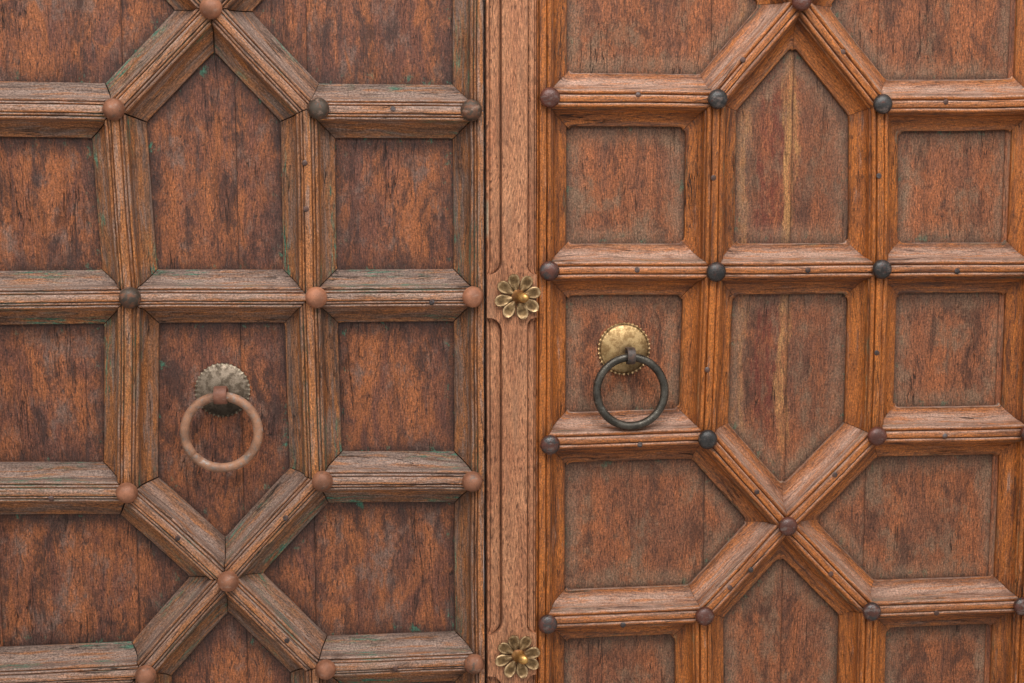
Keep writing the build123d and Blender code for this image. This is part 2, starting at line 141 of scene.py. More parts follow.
def arc(centre, radii, start, end, count):
    """Points of an ellipse about a centre, from one angle to another in degrees."""
    turn = np.radians(np.linspace(start, end, count))
    return np.stack([centre[0] + radii[0] * np.cos(turn), centre[1] + radii[1] * np.sin(turn)], -1)


def outline(*runs):
    """Joins runs of points, each of two numbers, into one array."""
    return np.concatenate([np.asarray(run, float).reshape(-1, 2) for run in runs])


# Half of each moulding from its foot to its crown, as distance from the middle and height in millimetres: a
# foot, a hollow that is a quarter of an ellipse, beads that are half ellipses, and a flat crown with eased edges
MOULDING = {
    "left": outline(
        [(43, 0), (43, 4.0), (42.3, 4.9), (36.4, 5.5)],
        arc((35.6, 27), (18.1, 21.2), -90, -178, 9),
        [(17.3, 29.2)],
        arc((14.1, 30.6), (2.7, 3.2), 0, 180, 7),
        arc((8.8, 32.8), (2.1, 2.8), 0, 180, 6),
        [(6.2, 33.6), (5.8, 35.7), (5.1, 37.1), (3.4, 37.6), (0, 37.8)],
    ),
    "right": outline(
        [(43, 0), (43, 4.2), (42.2, 5.1)],
        arc((41.2, 27), (23.4, 21.8), -90, -178, 10),
        [(17.3, 28.8), (15.0, 29.5)],
        arc((10.5, 31.6), (4.0, 4.6), 0, 180, 9),
        [(6.1, 32.0), (5.7, 35.2), (5.0, 36.9), (3.3, 37.5), (0, 37.7)],
    ),
}
CROWN = 38
FOOT_START = 17.4

# Where dirt sits across a moulding: distances from the middle and how much, for the grooves and the foot
GROOVES = {
    "left": outline([
        (0, 0), (5, 0), (6.3, 1), (7.5, 0.1), (10.2, 0.1), (11, 0.8), (12, 0.1), (16, 0.1), (17.5, 0.8),
        (20, 0.15), (31, 0.1), (35, 0.9), (37.5, 0.2), (41, 0.1), (43, 1),
    ]),
    "right": outline([
        (0, 0), (5, 0), (6.2, 1), (7.5, 0.1), (13, 0.1), (14.8, 0.8), (17.3, 0.7), (20, 0.15), (37, 0.15),
        (43, 1),
    ]),
}

# Radius and height of turned pieces in millimetres. A stud has a thin rim under a half ellipse on the left and is
# a fuller ball on the right. A flower's knob has a faceted collar, a waist and a round head.
STUD_PROFILE = {
    "left": outline([(16.8, 0), (17.4, 0.8), (17.1, 1.8)], arc((0, 1.9), (16.6, 14.9), 8, 85, 8)),
    "right": outline([(13.0, 0), (14.8, 1.8)], arc((0, 6.3), (16.6, 10.6), -18, 78, 9)),
}
NAIL_PROFILE = outline([(4.4, 0), (4.7, 0.4), (4.2, 0.9), (2.8, 1.3), (1.0, 1.45)])
KNOB_PROFILE = outline(
    [(11.6, 0.5), (12.0, 3.4), (10.4, 5.0), (8.6, 8.0), (7.2, 12.2)], arc((0, 17.4), (8.2, 8.4), -28, 84, 9)
)
COLLAR = 9


class Surface:
    """Points, faces, grain coordinates and shades gathered from several grids and made one mesh."""

    def __init__(self):
        self.points, self.grain, self.faces, self.shades = [], [], [], {}
        self.count = 0

    def add(self, points, grain, faces, **shades):
        """Adds points, their grain coordinates, faces as lists of numbers, and shades by name. A shade is one
        number, or one for each point; points at the end that it has none for get 0."""
        points = points.reshape(-1, 3)
        n = len(points)
        self.points.append(points)
        self.grain.append(grain.reshape(-1, 2))
        self.faces += [np.atleast_2d(face) + self.count for face in faces]
        for name in {**self.shades, **shades}:
            given = np.asarray(shades.get(name, 0.0), float).ravel()
            values = np.zeros(n)
            values[: n if given.size == 1 else given.size] = given
            self.shades.setdefault(name, [np.zeros(self.count)]).append(values)
        self.count += n

    def build(self, name, body, slot, material, replaces=()):
        """Makes the mesh in metres, puts its object on a body and lets it stand for the solids that it replaces."""
        mesh = bpy.data.meshes.new(name)
        sizes = np.concatenate([np.full(len(faces), faces.shape[1]) for faces in self.faces])
        corners = np.concatenate([faces.ravel() for faces in self.faces])
        mesh.vertices.add(self.count)
        mesh.vertices.foreach_set("co", np.concatenate(self.points).astype(np.float32).ravel())
        mesh.loops.add(len(corners))
        mesh.loops.foreach_set("vertex_index", corners.astype(np.int32))
        mesh.polygons.add(len(sizes))
        mesh.polygons.foreach_set("loop_start", (np.cumsum(sizes) - sizes).astype(np.int32))
        mesh.polygons.foreach_set("use_smooth", np.ones(len(sizes), bool))
        mesh.update(calc_edges=True)
        mesh.uv_layers.new(name="grain")
        grain = np.concatenate(self.grain).astype(np.float32)
        mesh.uv_layers["grain"].data.foreach_set("uv", grain[corners].ravel())
        for shade, values in self.shades.items():
            layer = mesh.attributes.new(shade, "FLOAT", "POINT")
            layer.data.foreach_set("value", np.concatenate(values).astype(np.float32))
        mesh.set_sharp_from_angle(angle=math.radians(38))
        mesh.materials.append(material)
        piece = bpy.data.objects.new(name, mesh)
        bpy.context.scene.collection.objects.link(piece)
        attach(piece, body)
        if replaces:
            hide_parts(*replaces)


def grid_faces(rows, columns, wrap_rows=False, wrap_columns=True):
    """The four-cornered faces of a grid whose points are numbered row by row, joined round where it wraps."""
    r = np.arange(rows if wrap_rows else rows - 1)[:, None]
    c = np.arange(columns if wrap_columns else columns - 1)[None, :]
    r2, c2 = (r + 1) % rows, (c + 1) % columns
    corners = [r * columns + c, r * columns + c2, r2 * columns + c2, r2 * columns + c]
    return np.stack(np.broadcast_arrays(*corners), -1).reshape(-1, 4)


def tube_faces(rows, columns):
    """The faces of a tube of rows, with one face over each end."""
    last = (rows - 1) * columns
    return [grid_faces(rows, columns), np.arange(columns)[::-1], np.arange(last, last + columns)]


def turned_faces(rows, columns):
    """The faces of rings of points that two points close, numbered after them: the first ring's, then the last's."""
    total = rows * columns
    faces = [grid_faces(rows, columns)]
    for pole, first, flip in ((total, 0, -1), (total + 1, total - columns, 1)):
        ring = np.arange(first, first + columns)
        faces.append(np.stack([np.full(columns, pole), ring, np.roll(ring, -1)], -1)[:, ::flip])
    return faces


def slab_faces(rows, columns):
    """The faces of a slab whose front is a grid and whose back is four corners, numbered after the grid."""
    n = rows * columns
    rims = (
        (np.arange(columns), (n + 1, n)),
        (np.arange(rows) * columns + columns - 1, (n + 2, n + 1)),
        (np.arange(n - 1, n - columns - 1, -1), (n + 3, n + 2)),
        (np.arange(rows - 1, -1, -1) * columns, (n, n + 3)),
    )
    sides = [np.concatenate([rim[::-1], back[::-1]]) for rim, back in rims]
    return [grid_faces(rows, columns, wrap_columns=False), *sides, [n + 3, n + 2, n + 1, n]]


def add_slab(surface, front, low, high, back, shift, **shades):
    """A slab: a grid of points in front and its box's corners at one depth behind. The grain runs along z."""
    corners = [(low.x, back, low.z), (high.x, back, low.z), (high.x, back, high.z), (low.x, back, high.z)]
    points = np.concatenate([front.reshape(-1, 3), corners])
    grain = np.stack([points[:, 2], points[:, 0] + points[:, 1]], -1) + shift
    surface.add(points, grain, slab_faces(*front.shape[:2]), **shades)


# Lay-out of a leaf


class LeafGrid:
    """Where the battens of one leaf meet, in metres. Columns count from the meeting edge, rows from below."""

    def __init__(self, name):
        self.name = name
        self.side = SIDES[name]
        low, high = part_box(f"{name}_upright_1")
        band = EDGE_BAND[name] * MM
        start = low.x + band if self.side > 0 else high.x - band
        self.columns = start + self.side * np.cumsum([0, *BAYS[name]]) * MM
        self.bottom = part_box(f"{name}_rail_1")[0].z
        self.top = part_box(f"{name}_rail_9")[1].z
        self.rows = self.bottom + (RAIL_BAND + np.cumsum([0, *TIERS[name]])) * MM
        ends = (start - self.side * band, self.columns[-1] + self.side * band)
        self.left, self.right = min(ends), max(ends)
        self.battens = self.lay_out()
        self.lines = [(self.junction(start), self.junction(end)) for _, start, end in self.battens]
        self.spokes = {}
        for _, start, end in self.battens:
            for here, there in ((start, end), (end, start)):
                self.spokes.setdefault(here, []).append(self.heading(here, there))

    def junction(self, key):
        """The X and Z of a junction. A cross's centre has halves in both numbers of its key."""
        column, row = key
        across = (self.columns[math.floor(column)] + self.columns[math.ceil(column)]) / 2
        up = (self.rows[math.floor(row)] + self.rows[math.ceil(row)]) / 2
        shift = DRIFT[self.name].get(key, (0, 0))
        return np.array([across + shift[0] * MM, up + shift[1] * MM])

    def stud(self, key):
        """The X and Z of a junction's stud, held off the edges of the field."""
        column, row = key
        place = self.junction(key)
        inward = (column == 0) - (column == len(self.columns) - 1)
        place[0] += self.side * (STUD_INSET - EDGE_BAND[self.name]) * MM * inward
        place[1] += (STUD_INSET - RAIL_BAND) * MM * ((row == 0) - (row == len(self.rows) - 1))
        return place + np.array(STRAY[self.name].get(key, (0, 0))) * MM

    def heading(self, start, end):
        """The direction from one junction to another, in radians from 0 to a full turn."""
        step = self.junction(end) - self.junction(start)
        return math.atan2(step[1], step[0]) % math.tau

    def lay_out(self):
        """Each batten as the node it belongs to and its two junctions."""
        last = len(self.columns) - 1
        open_rows = {row for tier in CROSS_TIERS for row in (tier, tier + 1)}
        found = []
        for row in range(len(self.rows)):
            for bay in range(last):
                if bay in (0, last - 1) or row not in open_rows:
                    found.append((f"{self.name}_rail_{row + 1}", (bay, row), (bay + 1, row)))
        for column in range(last + 1):
            for tier in range(len(self.rows) - 1):
                if column in (0, last) or tier not in CROSS_TIERS:
                    found.append((f"{self.name}_upright_{column + 1}", (column, tier), (column, tier + 1)))
        for number, tier in enumerate(CROSS_TIERS, 1):
            for column in (1, 2):
                for row in (tier, tier + 1):
                    found.append((f"{self.name}_cross_{number}", (1.5, tier + 0.5), (column, row)))
        return found

    def mitre(self, key, direction):
        """The tangents of half the angles between a batten and the next ones to its left and to its right."""
        turns = [(other - direction) % math.tau for other in self.spokes[key] if abs(other - direction) > 1e-9]
        return math.tan(min(turns) / 2), math.tan((math.tau - max(turns)) / 2)

    def to_edges(self, place):
        """How far a place lies inside the left, right, bottom and top edge of the field."""
        return place[0] - self.left, self.right - place[0], place[1] - self.bottom, self.top - place[1]

    def half_widths(self, middle, left):
        """How far a batten reaches to its right and to its left: only as far as the field's edge beside one."""
        low = high = HALF_WIDTH * MM
        for distance, inward in zip(self.to_edges(middle), ((1, 0), (-1, 0), (0, 1), (0, -1))):
            if distance < 0.5 * HALF_WIDTH * MM and np.dot(left, inward) > 0:
                low = distance
            elif distance < 0.5 * HALF_WIDTH * MM:
                high = distance
        return low, high

    def clearance(self, x, z):
        """How far points lie from the nearest batten's side: the least distance to a centre line less half a width."""
        nearest = np.full(x.shape, 9.0)
        for a, b in self.lines:
            step = b - a
            t = clamp(((x - a[0]) * step[0] + (z - a[1]) * step[1]) / (step @ step))
            nearest = np.minimum(nearest, np.hypot(x - a[0] - t * step[0], z - a[1] - t * step[1]))
        return nearest - HALF_WIDTH * MM

    def below_rail(self, x, z):
        """How far points lie below the lower side of the nearest batten above them that isn't upright."""
        drop = np.full(x.shape, 9.0)
        for line in self.lines:
            a, b = sorted(map(tuple, line))
            if b[0] - a[0] < 0.02:
                continue
            share = (x - a[0]) / (b[0] - a[0])
            side = a[1] + share * (b[1] - a[1]) - HALF_WIDTH * MM * math.hypot(1, (b[1] - a[1]) / (b[0] - a[0]))
            under = np.where((share > 0) & (share < 1) & (side > z - 2 * MM), side - z, 9.0)
            drop = np.minimum(drop, under)
        return drop


# Shapes


def cut_moulding(half, low, high):
    """The whole outline across a batten, from -low to high, with a plain wall where it is cut inside its foot."""
    whole = np.concatenate([half * [-1, 1], half[-2::-1]])
    kept = whole[(whole[:, 0] > -low - 1e-9) & (whole[:, 0] < high + 1e-9)]
    walls = []
    for edge in (-low, high):
        rise = np.interp(abs(edge), half[::-1, 0], half[::-1, 1])
        walls.append([] if abs(edge) > half[0, 0] - 1e-6 else [(edge, 0.0), (edge, rise)])
    return outline(walls[0], kept, walls[1][::-1])


def add_batten(surface, grid, start, end, shape, seed):
    """One batten. A point lies at s along and a across, with s = n + t (f - n): n and f are the ends there, each
    |a| / tan(half the angle to the next batten) from its junction, so neighbours close on a mitre. Where feet
    meet, a grows by R - sqrt(R^2 - (R cos b - d)^2) to round the panel's corner, b being the mitre's angle."""
    rng = np.random.default_rng(seed)
    here, there = grid.junction(start), grid.junction(end)
    length = math.dist(here, there)
    turn = grid.heading(start, end)
    along = np.array([math.cos(turn), math.sin(turn)])
    left = np.array([-along[1], along[0]])
    low, high = grid.half_widths((here + there) / 2, left)
    a, h = cut_moulding(MOULDING[grid.name] * MM, low, high).T
    gap = getattr(shape, f"{grid.name}_joint_gap") * rng.uniform(0.15, 1.0, 2)
    radius = getattr(shape, f"{grid.name}_corner")
    near_tan = np.where(a > 0, *grid.mitre(start, turn))
    far_tan = np.where(a < 0, *grid.mitre(end, grid.heading(end, start)))
    t = np.linspace(0, 1, max(8, int(length / shape.step)))[:, None]
    t = t + 0.35 * t * (1 - t) * (2 * t - 1)

    def swell(tangent, distance):
        beyond = clamp(radius / np.sqrt(1 + tangent**2) - distance, 0, radius)
        return radius - np.sqrt(np.maximum(radius**2 - beyond**2, 0))

    reach = length - np.abs(a) / far_tan - np.abs(a) / near_tan
    grown = swell(near_tan, t * reach) + swell(far_tan, (1 - t) * reach)
    foot = clamp((np.abs(a) - FOOT_START * MM) / ((HALF_WIDTH - FOOT_START) * MM)) ** 1.5
    wide = a + np.sign(a) * grown * foot * (min(low, high) > 20 * MM)
    near = np.abs(wide) / near_tan + gap[0]
    far = length - np.abs(wide) / far_tan - gap[1]
    s = near + t * (far - near)
    crest = h / (CROWN * MM)
    wander = 0.9 * MM * ripple(s * 9, 0, seed + 1) * np.sin(math.pi * t)
    wander = np.where(np.abs(a) < 0.999 * max(low, high), 1.0, 0.6) * wander
    worn = smooth(ripple(s * 40, a * 160, seed + 2), 0.35, 1.6) * crest**3
    dented = smooth(ripple(s * 90, a * 260, seed + 3), 1.05, 1.7)
    height = h * (1 + 0.012 * ripple(s * 22, a * 60, seed + 4) - 0.006) - shape.wear * (1.1 * worn + 1.3 * dented)
    rounded = 1.1 * MM * (np.exp(-(s - near) / (1.5 * MM)) + np.exp(-(far - s) / (1.5 * MM)))
    height = np.where(h <= 0, 0.0, np.maximum(height - rounded * crest, 0.1 * MM))

    # Each row of points ends with one on the batten's line at its underside, which gets its first point's values
    def closed(values):
        values = np.broadcast_to(values, s.shape)
        return np.concatenate([values, values[:, :1]], 1)

    place = here + np.multiply.outer(s, along) + np.multiply.outer(wide + wander, left)
    spine = here + np.multiply.outer(gap[0] + t * (length - gap.sum()), along)
    x, z = np.moveaxis(np.concatenate([place, spine], 1), -1, 0)
    y = -np.concatenate([height, 0 * t], 1)
    points = np.stack([clamp(x, grid.left, grid.right), y, clamp(z, grid.bottom, grid.top)], -1)
    girth = np.concatenate([[0], np.cumsum(np.hypot(np.diff(a), np.diff(h)))])
    shift = rng.uniform(-9, 9, 2)
    grain = np.stack([closed(s + shift[0]), closed(girth + shift[1])], -1)
    rows, columns = x.shape
    crown = int(np.argmin(np.abs(a)))
    faces = [grid_faces(rows, columns)]
    for first, flip in ((0, -1), ((rows - 1) * columns, 1)):
        last = first + columns - 1
        for half in (range(first, first + crown + 1), range(first + crown, last)):
            faces.append(np.array([last, *half])[::flip])
    slope = -np.gradient(h, a + 1e-7 * np.arange(len(a)))
    surface.add(
        points, grain, faces,
        tone=rng.uniform(0, 1),
        crest=closed(crest),
        hollow=closed(np.interp(np.abs(a), GROOVES[grid.name][:, 0] * MM, GROOVES[grid.name][:, 1])),
        joint=closed(1 - smooth(np.minimum(s - near, far - s), 0, 26 * MM)),
        dent=closed(dented),
        upward=closed(slope / np.sqrt(1 + slope**2) * left[1]),
        level=abs(left[1]),
    )


def add_round(surface, centre, out, profile, segments, seed, dent, lean=(0, 0), facets=0.0, **shades):
    """A shape turned about an axis towards the viewer: radius and height come from a profile, with dents and
    facets |sin 3 angle| that scale the radius, and the axis leans with height. Its ends close in points."""
    radius, height = profile.T[:, :, None] * MM
    turn = np.arange(segments) / segments * math.tau
    uneven = 1 + dent * ripple(np.cos(turn) * 1.4 + height * 60, np.sin(turn) * 1.4, seed)
    r = radius * uneven * (1 - facets * np.abs(np.sin(3 * turn)) * (height < COLLAR * MM))
    middle_x, middle_z = centre[0] + height * lean[0], centre[1] + height * lean[1]
    y = -out * MM - height
    rings = np.stack(np.broadcast_arrays(middle_x + r * np.cos(turn), y, middle_z + r * np.sin(turn)), -1)
    axis = np.stack([middle_x, y, middle_z], -1)
    points = np.concatenate([rings.reshape(-1, 3), axis[0], axis[-1]])
    rise = np.concatenate([np.repeat(height / height.max(), segments), [0, 1]])
    rng = np.random.default_rng(seed)
    grain = points[:, [0, 2]] + rng.uniform(-5, 5, 2)
    shades = {"tone": rng.uniform(0, 1), **shades}
    surface.add(points, grain, turned_faces(len(profile), segments), crest=rise, **shades)


def add_board(surface, grid, low, high, seed, shape):
    """A board. Its face is y = eased edges + shallow ripples + long hand-plane hollows over x and z."""
    nx = max(6, int((high.x - low.x) / shape.board_step))
    nz = int((high.z - low.z) / (1.6 * shape.board_step))
    inner = np.linspace(low.x + 4 * MM, high.x - 4 * MM, nx)
    x = np.concatenate([[low.x, low.x + 1.2 * MM], inner, [high.x - 1.2 * MM, high.x]])
    x, z = np.meshgrid(x, np.linspace(low.z, high.z, nz))
    edge = np.minimum(x - low.x, high.x - x)
    eased = 0.6 * MM * (1 - smooth(edge, 0, 2.4 * MM))
    waves = 0.45 * MM * (1 + ripple(x * 30, z * 12, seed))
    planed = 0.35 * MM * (1 + ripple(x * 120, z * 9, seed + 1))
    fade = smooth(edge, 0, 14 * MM)
    level = (waves.mean() + planed.mean()) * (1 - fade)
    y = low.y + eased + shape.unevenness * (clamp(waves + planed, 0, 3 * MM) * fade + level)
    gap = grid.clearance(x, z)
    rng = np.random.default_rng(seed)
    add_slab(
        surface, np.stack([x, y, z], -1), low, high, high.y, rng.uniform(-9, 9, 2),
        tone=rng.uniform(0, 1),
        border=1 - smooth(gap, 0, 55 * MM),
        # painted shade in the crease along each batten's side
        corner=1 - smooth(gap, -2 * MM, 14 * MM),
        seam=1 - smooth(edge, 0, 4 * MM),
        # painted shadow just below each rail
        shelter=1 - smooth(grid.below_rail(x, z), 0, 34 * MM),
    )


# Across a sunk margin: shares of its width, heights above its floor in millimetres, and dirt
MARGIN = np.array([
    (0, -2.2, 0.6), (0.03, -0.9, 0.3), (0.10, 0, 0), (0.17, -0.5, 0.3), (0.215, -2.6, 0.9), (0.25, -2.6, 0.9),
    (0.29, -0.6, 0.2), (0.36, 0, 0.1), (0.60, 0.1, 0.1), (0.84, -0.3, 0.1), (0.91, -1.0, 0.5),
    (0.94, -3.6, 1), (0.985, -3.6, 1),
])

# Width of the strip's left and right margin in millimetres
MARGIN_WIDTHS = (24.0, 15.0)


def margin(beyond, full):
    """One margin's distances from the edge, heights and dirt. It is w = sqrt(W^2 - (W - d)^2) wide, d being the
    distance past the block, and ends in a riser."""
    d = clamp(beyond, 0, full)
    wide = np.where(beyond <= 0, 0.0, np.sqrt(np.maximum(full**2 - (full - d) ** 2, 0)))[:, None]
    deep = smooth(wide, 0.0, 1.5)
    floor = STRIP_HEIGHT - deep * 10 + deep * MARGIN[:, 1] * smooth(wide, 2, 10)
    across = np.concatenate([MARGIN[:, 0] * wide, wide + [0, 0.9, 2.5]], 1)
    height = np.concatenate([floor, STRIP_HEIGHT - deep * [6.5, 0.8, 0.1]], 1)
    return across, height, deep * [*MARGIN[:, 2], 0.8, 0.2, 0]


def add_strip(surface, low, high, flowers, shape):
    """The strip. Between blocks its margins are sunk, and round each shoulder they narrow along a quarter of a
    circle. The section across is carried along z with its margins scaled to their width there."""
    block = shape.block_length / 2
    width = (high.x - low.x) / MM
    flowers = np.sort(flowers) / MM
    bottom, top = low.z / MM, high.z / MM
    shoulders = [flower + edge * (block + np.linspace(-1, 26, 30)) for flower in flowers for edge in (-1, 1)]
    z = np.unique(np.round(np.concatenate([np.arange(bottom, top, shape.strip_step), [bottom, top], *shoulders]), 2))
    z = z[(z >= bottom) & (z <= top)]
    beyond = np.abs(z[:, None] - flowers).min(1) - block
    beyond = np.where((z < flowers[0]) | (z > flowers[-1]), -1, beyond)
    left, left_height, left_dirt = margin(beyond, MARGIN_WIDTHS[0])
    right, right_height, right_dirt = (values[:, ::-1] for values in margin(beyond, MARGIN_WIDTHS[1]))
    right = width - right
    across = left[:, -1:] + (right[:, :1] - left[:, -1:]) * np.linspace(0, 1, 20)[1:-1]
    a = np.concatenate([left, across, right], 1)
    h = np.concatenate([left_height, np.full(across.shape, STRIP_HEIGHT - 0.1), right_height], 1)
    dirt = np.concatenate([left_dirt, 0 * across, right_dirt], 1)
    z = np.broadcast_to(z[:, None], a.shape)
    at_block = (beyond <= 0.001)[:, None]
    h = h - 1.4 * (1 - smooth(np.minimum(a, width - a) * at_block, 0, 1.8)) * at_block
    h = h - 0.3 * (1 + ripple(a * 0.12, z * 0.012, 71)) - 0.25 * (1 + ripple(a * 0.55, z * 0.016, 74))
    h = h - shape.wear / MM * 1.2 * smooth(ripple(a * 0.35, z * 0.06, 72), 1.0, 1.7)
    nibble = 0.9 * smooth(ripple(0, z * 0.09, 73), 0.9, 1.6) * (np.arange(a.shape[1]) == 0)
    front = np.stack([low.x + (a + nibble) * MM, -np.clip(h, 20, STRIP_HEIGHT) * MM, z * MM], -1)
    add_slab(surface, front, low, high, 0, 0, hollow=dirt, crest=h / STRIP_HEIGHT, tone=0.5)


def add_petal(surface, centre, turn, seed):
    """A petal: half-width grows smoothly from the stem and closes in a half ellipse at the tip; its face rises
    with its length, dips along the middle and has a raised rim. The underside is the same, one wall lower."""
    rows, columns = 18, 13
    r = np.linspace(0, 1, rows)[:, None]
    t = np.linspace(-1, 1, columns)[None, :]
    broad = 0.64
    stem = 2.8 + 7.2 * smooth(r, 0.0, broad)
    tip = 10.0 * np.sqrt(np.maximum(1 - (clamp(r - broad) / (1 - broad)) ** 2, 0.0009))
    rng = np.random.default_rng(seed)
    lean = rng.uniform(-0.08, 0.08)
    reach = 39.8 - rng.uniform(0, 1.6)
    along = 6 + r * (reach - 6) * np.ones_like(t)
    across = np.where(r > broad, tip, stem) * t
    rise = 2.6 + 5.6 * r**1.5 + lean * across
    rim = hump(np.abs(t), 0.80, 0.14) * smooth(r, 0.25, 0.5) + hump(r, 0.91, 0.05) * (1 - np.abs(t) ** 4)
    rib = hump(t, 0, 0.35) * (1 - smooth(r, 0.2, 0.55))
    dish = 1.2 * (1 - t**2) * smooth(r, 0.3, 0.65)
    upper = rise - dish + 0.9 * clamp(rim) + rib - np.abs(t) ** 8
    lower = np.maximum(rise - dish - 1.9, 0.2)
    x = centre[0] + (along * math.cos(turn) - across * math.sin(turn)) * MM
    z = centre[1] + (along * math.sin(turn) + across * math.cos(turn)) * MM
    top, under = (np.stack([x, -(STRIP_HEIGHT + height) * MM, z], -1) for height in (upper, lower))
    points = np.concatenate([top, under[:, ::-1]], 1)
    # Painted highlight on the rim and the rib; painted shade towards the stem, along the edges, down the middle of the
    # outer half and all over the underside
    bright = np.concatenate([clamp(rim + 0.6 * rib), np.zeros_like(rim)], 1)
    shade = clamp(1.2 - 1.2 * r) * 0.5 * (1 - rib) + 0.8 * smooth(np.abs(t), 0.86, 1.0) + 0.3 * (1 - t**2) * (r > 0.5)
    dark = np.concatenate([clamp(shade * (1 - clamp(rim))), np.ones_like(rim)], 1)
    faces = tube_faces(rows, 2 * columns)
    surface.add(points, points[..., [0, 2]], faces, crest=bright, hollow=dark, tone=rng.uniform(0, 1))


def add_ring(surface, low, high, wire, out, seam, seed):
    """A ring of round wire hung from its top: a torus, leaning out by the angle whose sine is its box's depth past
    the wire over twice its radius. The wire is slightly uneven and has a raised, nicked weld at one angle."""
    radius = (high.x - low.x) / 2 - wire
    lean = math.asin(clamp((high.y - low.y - 2 * wire) / (2 * radius), 0, 0.5))
    rows, columns = 120, 20
    turn = np.arange(rows)[:, None] / rows * math.tau
    side = np.arange(columns)[None, :] / columns * math.tau
    apart = np.abs((turn - seam + math.pi) % math.tau - math.pi)
    weld = 0.03 * hump(apart, 0, 0.10) - 0.16 * hump(apart, 0, 0.022)
    uneven = 0.98 + 0.012 * ripple(np.cos(turn) * 3, np.sin(turn) * 3 + np.cos(side) * 0.6, seed) + weld
    w = wire * clamp(uneven, 0, 0.998)
    r = radius + w * np.cos(side)
    up, deep = r * np.sin(turn) - radius, w * np.sin(side)
    x = (low.x + high.x) / 2 + r * np.cos(turn)
    y = -out + deep * math.cos(lean) + up * math.sin(lean)
    z = high.z - wire - deep * math.sin(lean) + up * math.cos(lean)
    grain = np.stack(np.broadcast_arrays(turn * radius, side * wire), -1)
    near = np.broadcast_to(hump(apart, 0, 0.05), x.shape)
    rim = np.broadcast_to(clamp(np.cos(side)) ** 2 + clamp(-np.cos(side)) ** 4, x.shape)
    faces = [grid_faces(rows, columns, wrap_rows=True)[:, ::-1]]
    surface.add(np.stack([x, y, z], -1), grain, faces, crest=rim, joint=near, tone=1.0)


def add_plate(surface, centre, hole, radius, curl, shaded_side, seed):
    """A ring's plate over radius and angle: a dome along a cosine whose skirt is fluted. The edge is R - d |sin(n
    angle / 2)|, flutes are raised by the same wave, and curl lifts their tips. The hollow shade paints shade round the
    slot, which the plate has no hole for, in the crease at the dome's foot and towards one side, and dark rays about
    the middle; the crest shade paints a highlight on the flutes' tips and the dome's top."""
    lobes, per_lobe = 36, 8
    columns = lobes * per_lobe
    turn = np.arange(columns) / columns * math.tau
    wave = 1 - np.abs(np.sin(lobes * turn / 2)) ** 0.8
    edge = radius - 2.2 + 2.1 * wave
    dome = radius - 4.8
    share = np.linspace(0.06, 1, 22)[:, None]
    skirt = np.array([0.10, 0.3, 0.5, 0.7, 0.88, 1.0])[:, None]
    r = np.concatenate([dome * share * np.ones_like(turn), dome + skirt * (edge - dome)], 0)
    fluted = smooth(r, 0.84 * dome, radius - 1)
    h = 2.2 + 10.4 * np.cos(clamp(r / (radius - 2.0)) * math.pi / 2) ** 0.85
    h = h + 0.9 * fluted * (wave - 0.5) + curl * hump(r, edge - 1.0, 1.3) * (0.3 + wave)
    h = h - 1.2 * curl * hump(r, dome + 0.6, 0.8)
    h = h + 0.25 * ripple(r * np.cos(turn) * 0.12, r * np.sin(turn) * 0.12, seed) * (h > 2.5)
    h[-1] = 0.5
    # From here the rows run from the edge to the middle, all but fluted's, which so marks rays about the middle
    r, h = r[::-1], h[::-1]
    x, z = centre[0] + r * np.cos(turn) * MM, centre[1] + r * np.sin(turn) * MM
    front = np.stack([x, -np.clip(h, 0.4, 12.9) * MM, z], -1)
    poles = [(centre[0], 0.0, centre[1]), (centre[0], -12.8 * MM, centre[1])]
    points = np.concatenate([(front[0] * [1, 0, 1]), front.reshape(-1, 3), poles])
    # Painted highlight on the flutes' tips and the dome's top
    tip = clamp((r > dome) * wave * (h > 1.0) + 0.25 * smooth(h, 10.5, 12.5))
    # Painted shade round the slot, in the crease at the dome's foot and towards one side, and dark rays about the
    # middle
    away = np.hypot((x - hole[0]) / 11, (z - hole[1]) / 8) / MM
    toward_shade = ((x - centre[0]) * shaded_side[0] + (z - centre[1]) * shaded_side[1]) / (radius * MM)
    groove = clamp(hump(r, dome + 0.5, 0.9) * (0.3 + curl) + fluted * (1 - wave) * 0.8)
    dark = clamp(clamp(groove + smooth(toward_shade, 0.0, 0.75)) + 1 - smooth(away, 0.6, 1.15))
    bright = np.concatenate([0 * tip[:1], tip])
    dark = np.concatenate([np.ones_like(dark[:1]), dark])
    faces = turned_faces(len(r) + 1, columns)
    surface.add(points, points[:, [0, 2]], faces, crest=bright, hollow=dark, tone=0.5)


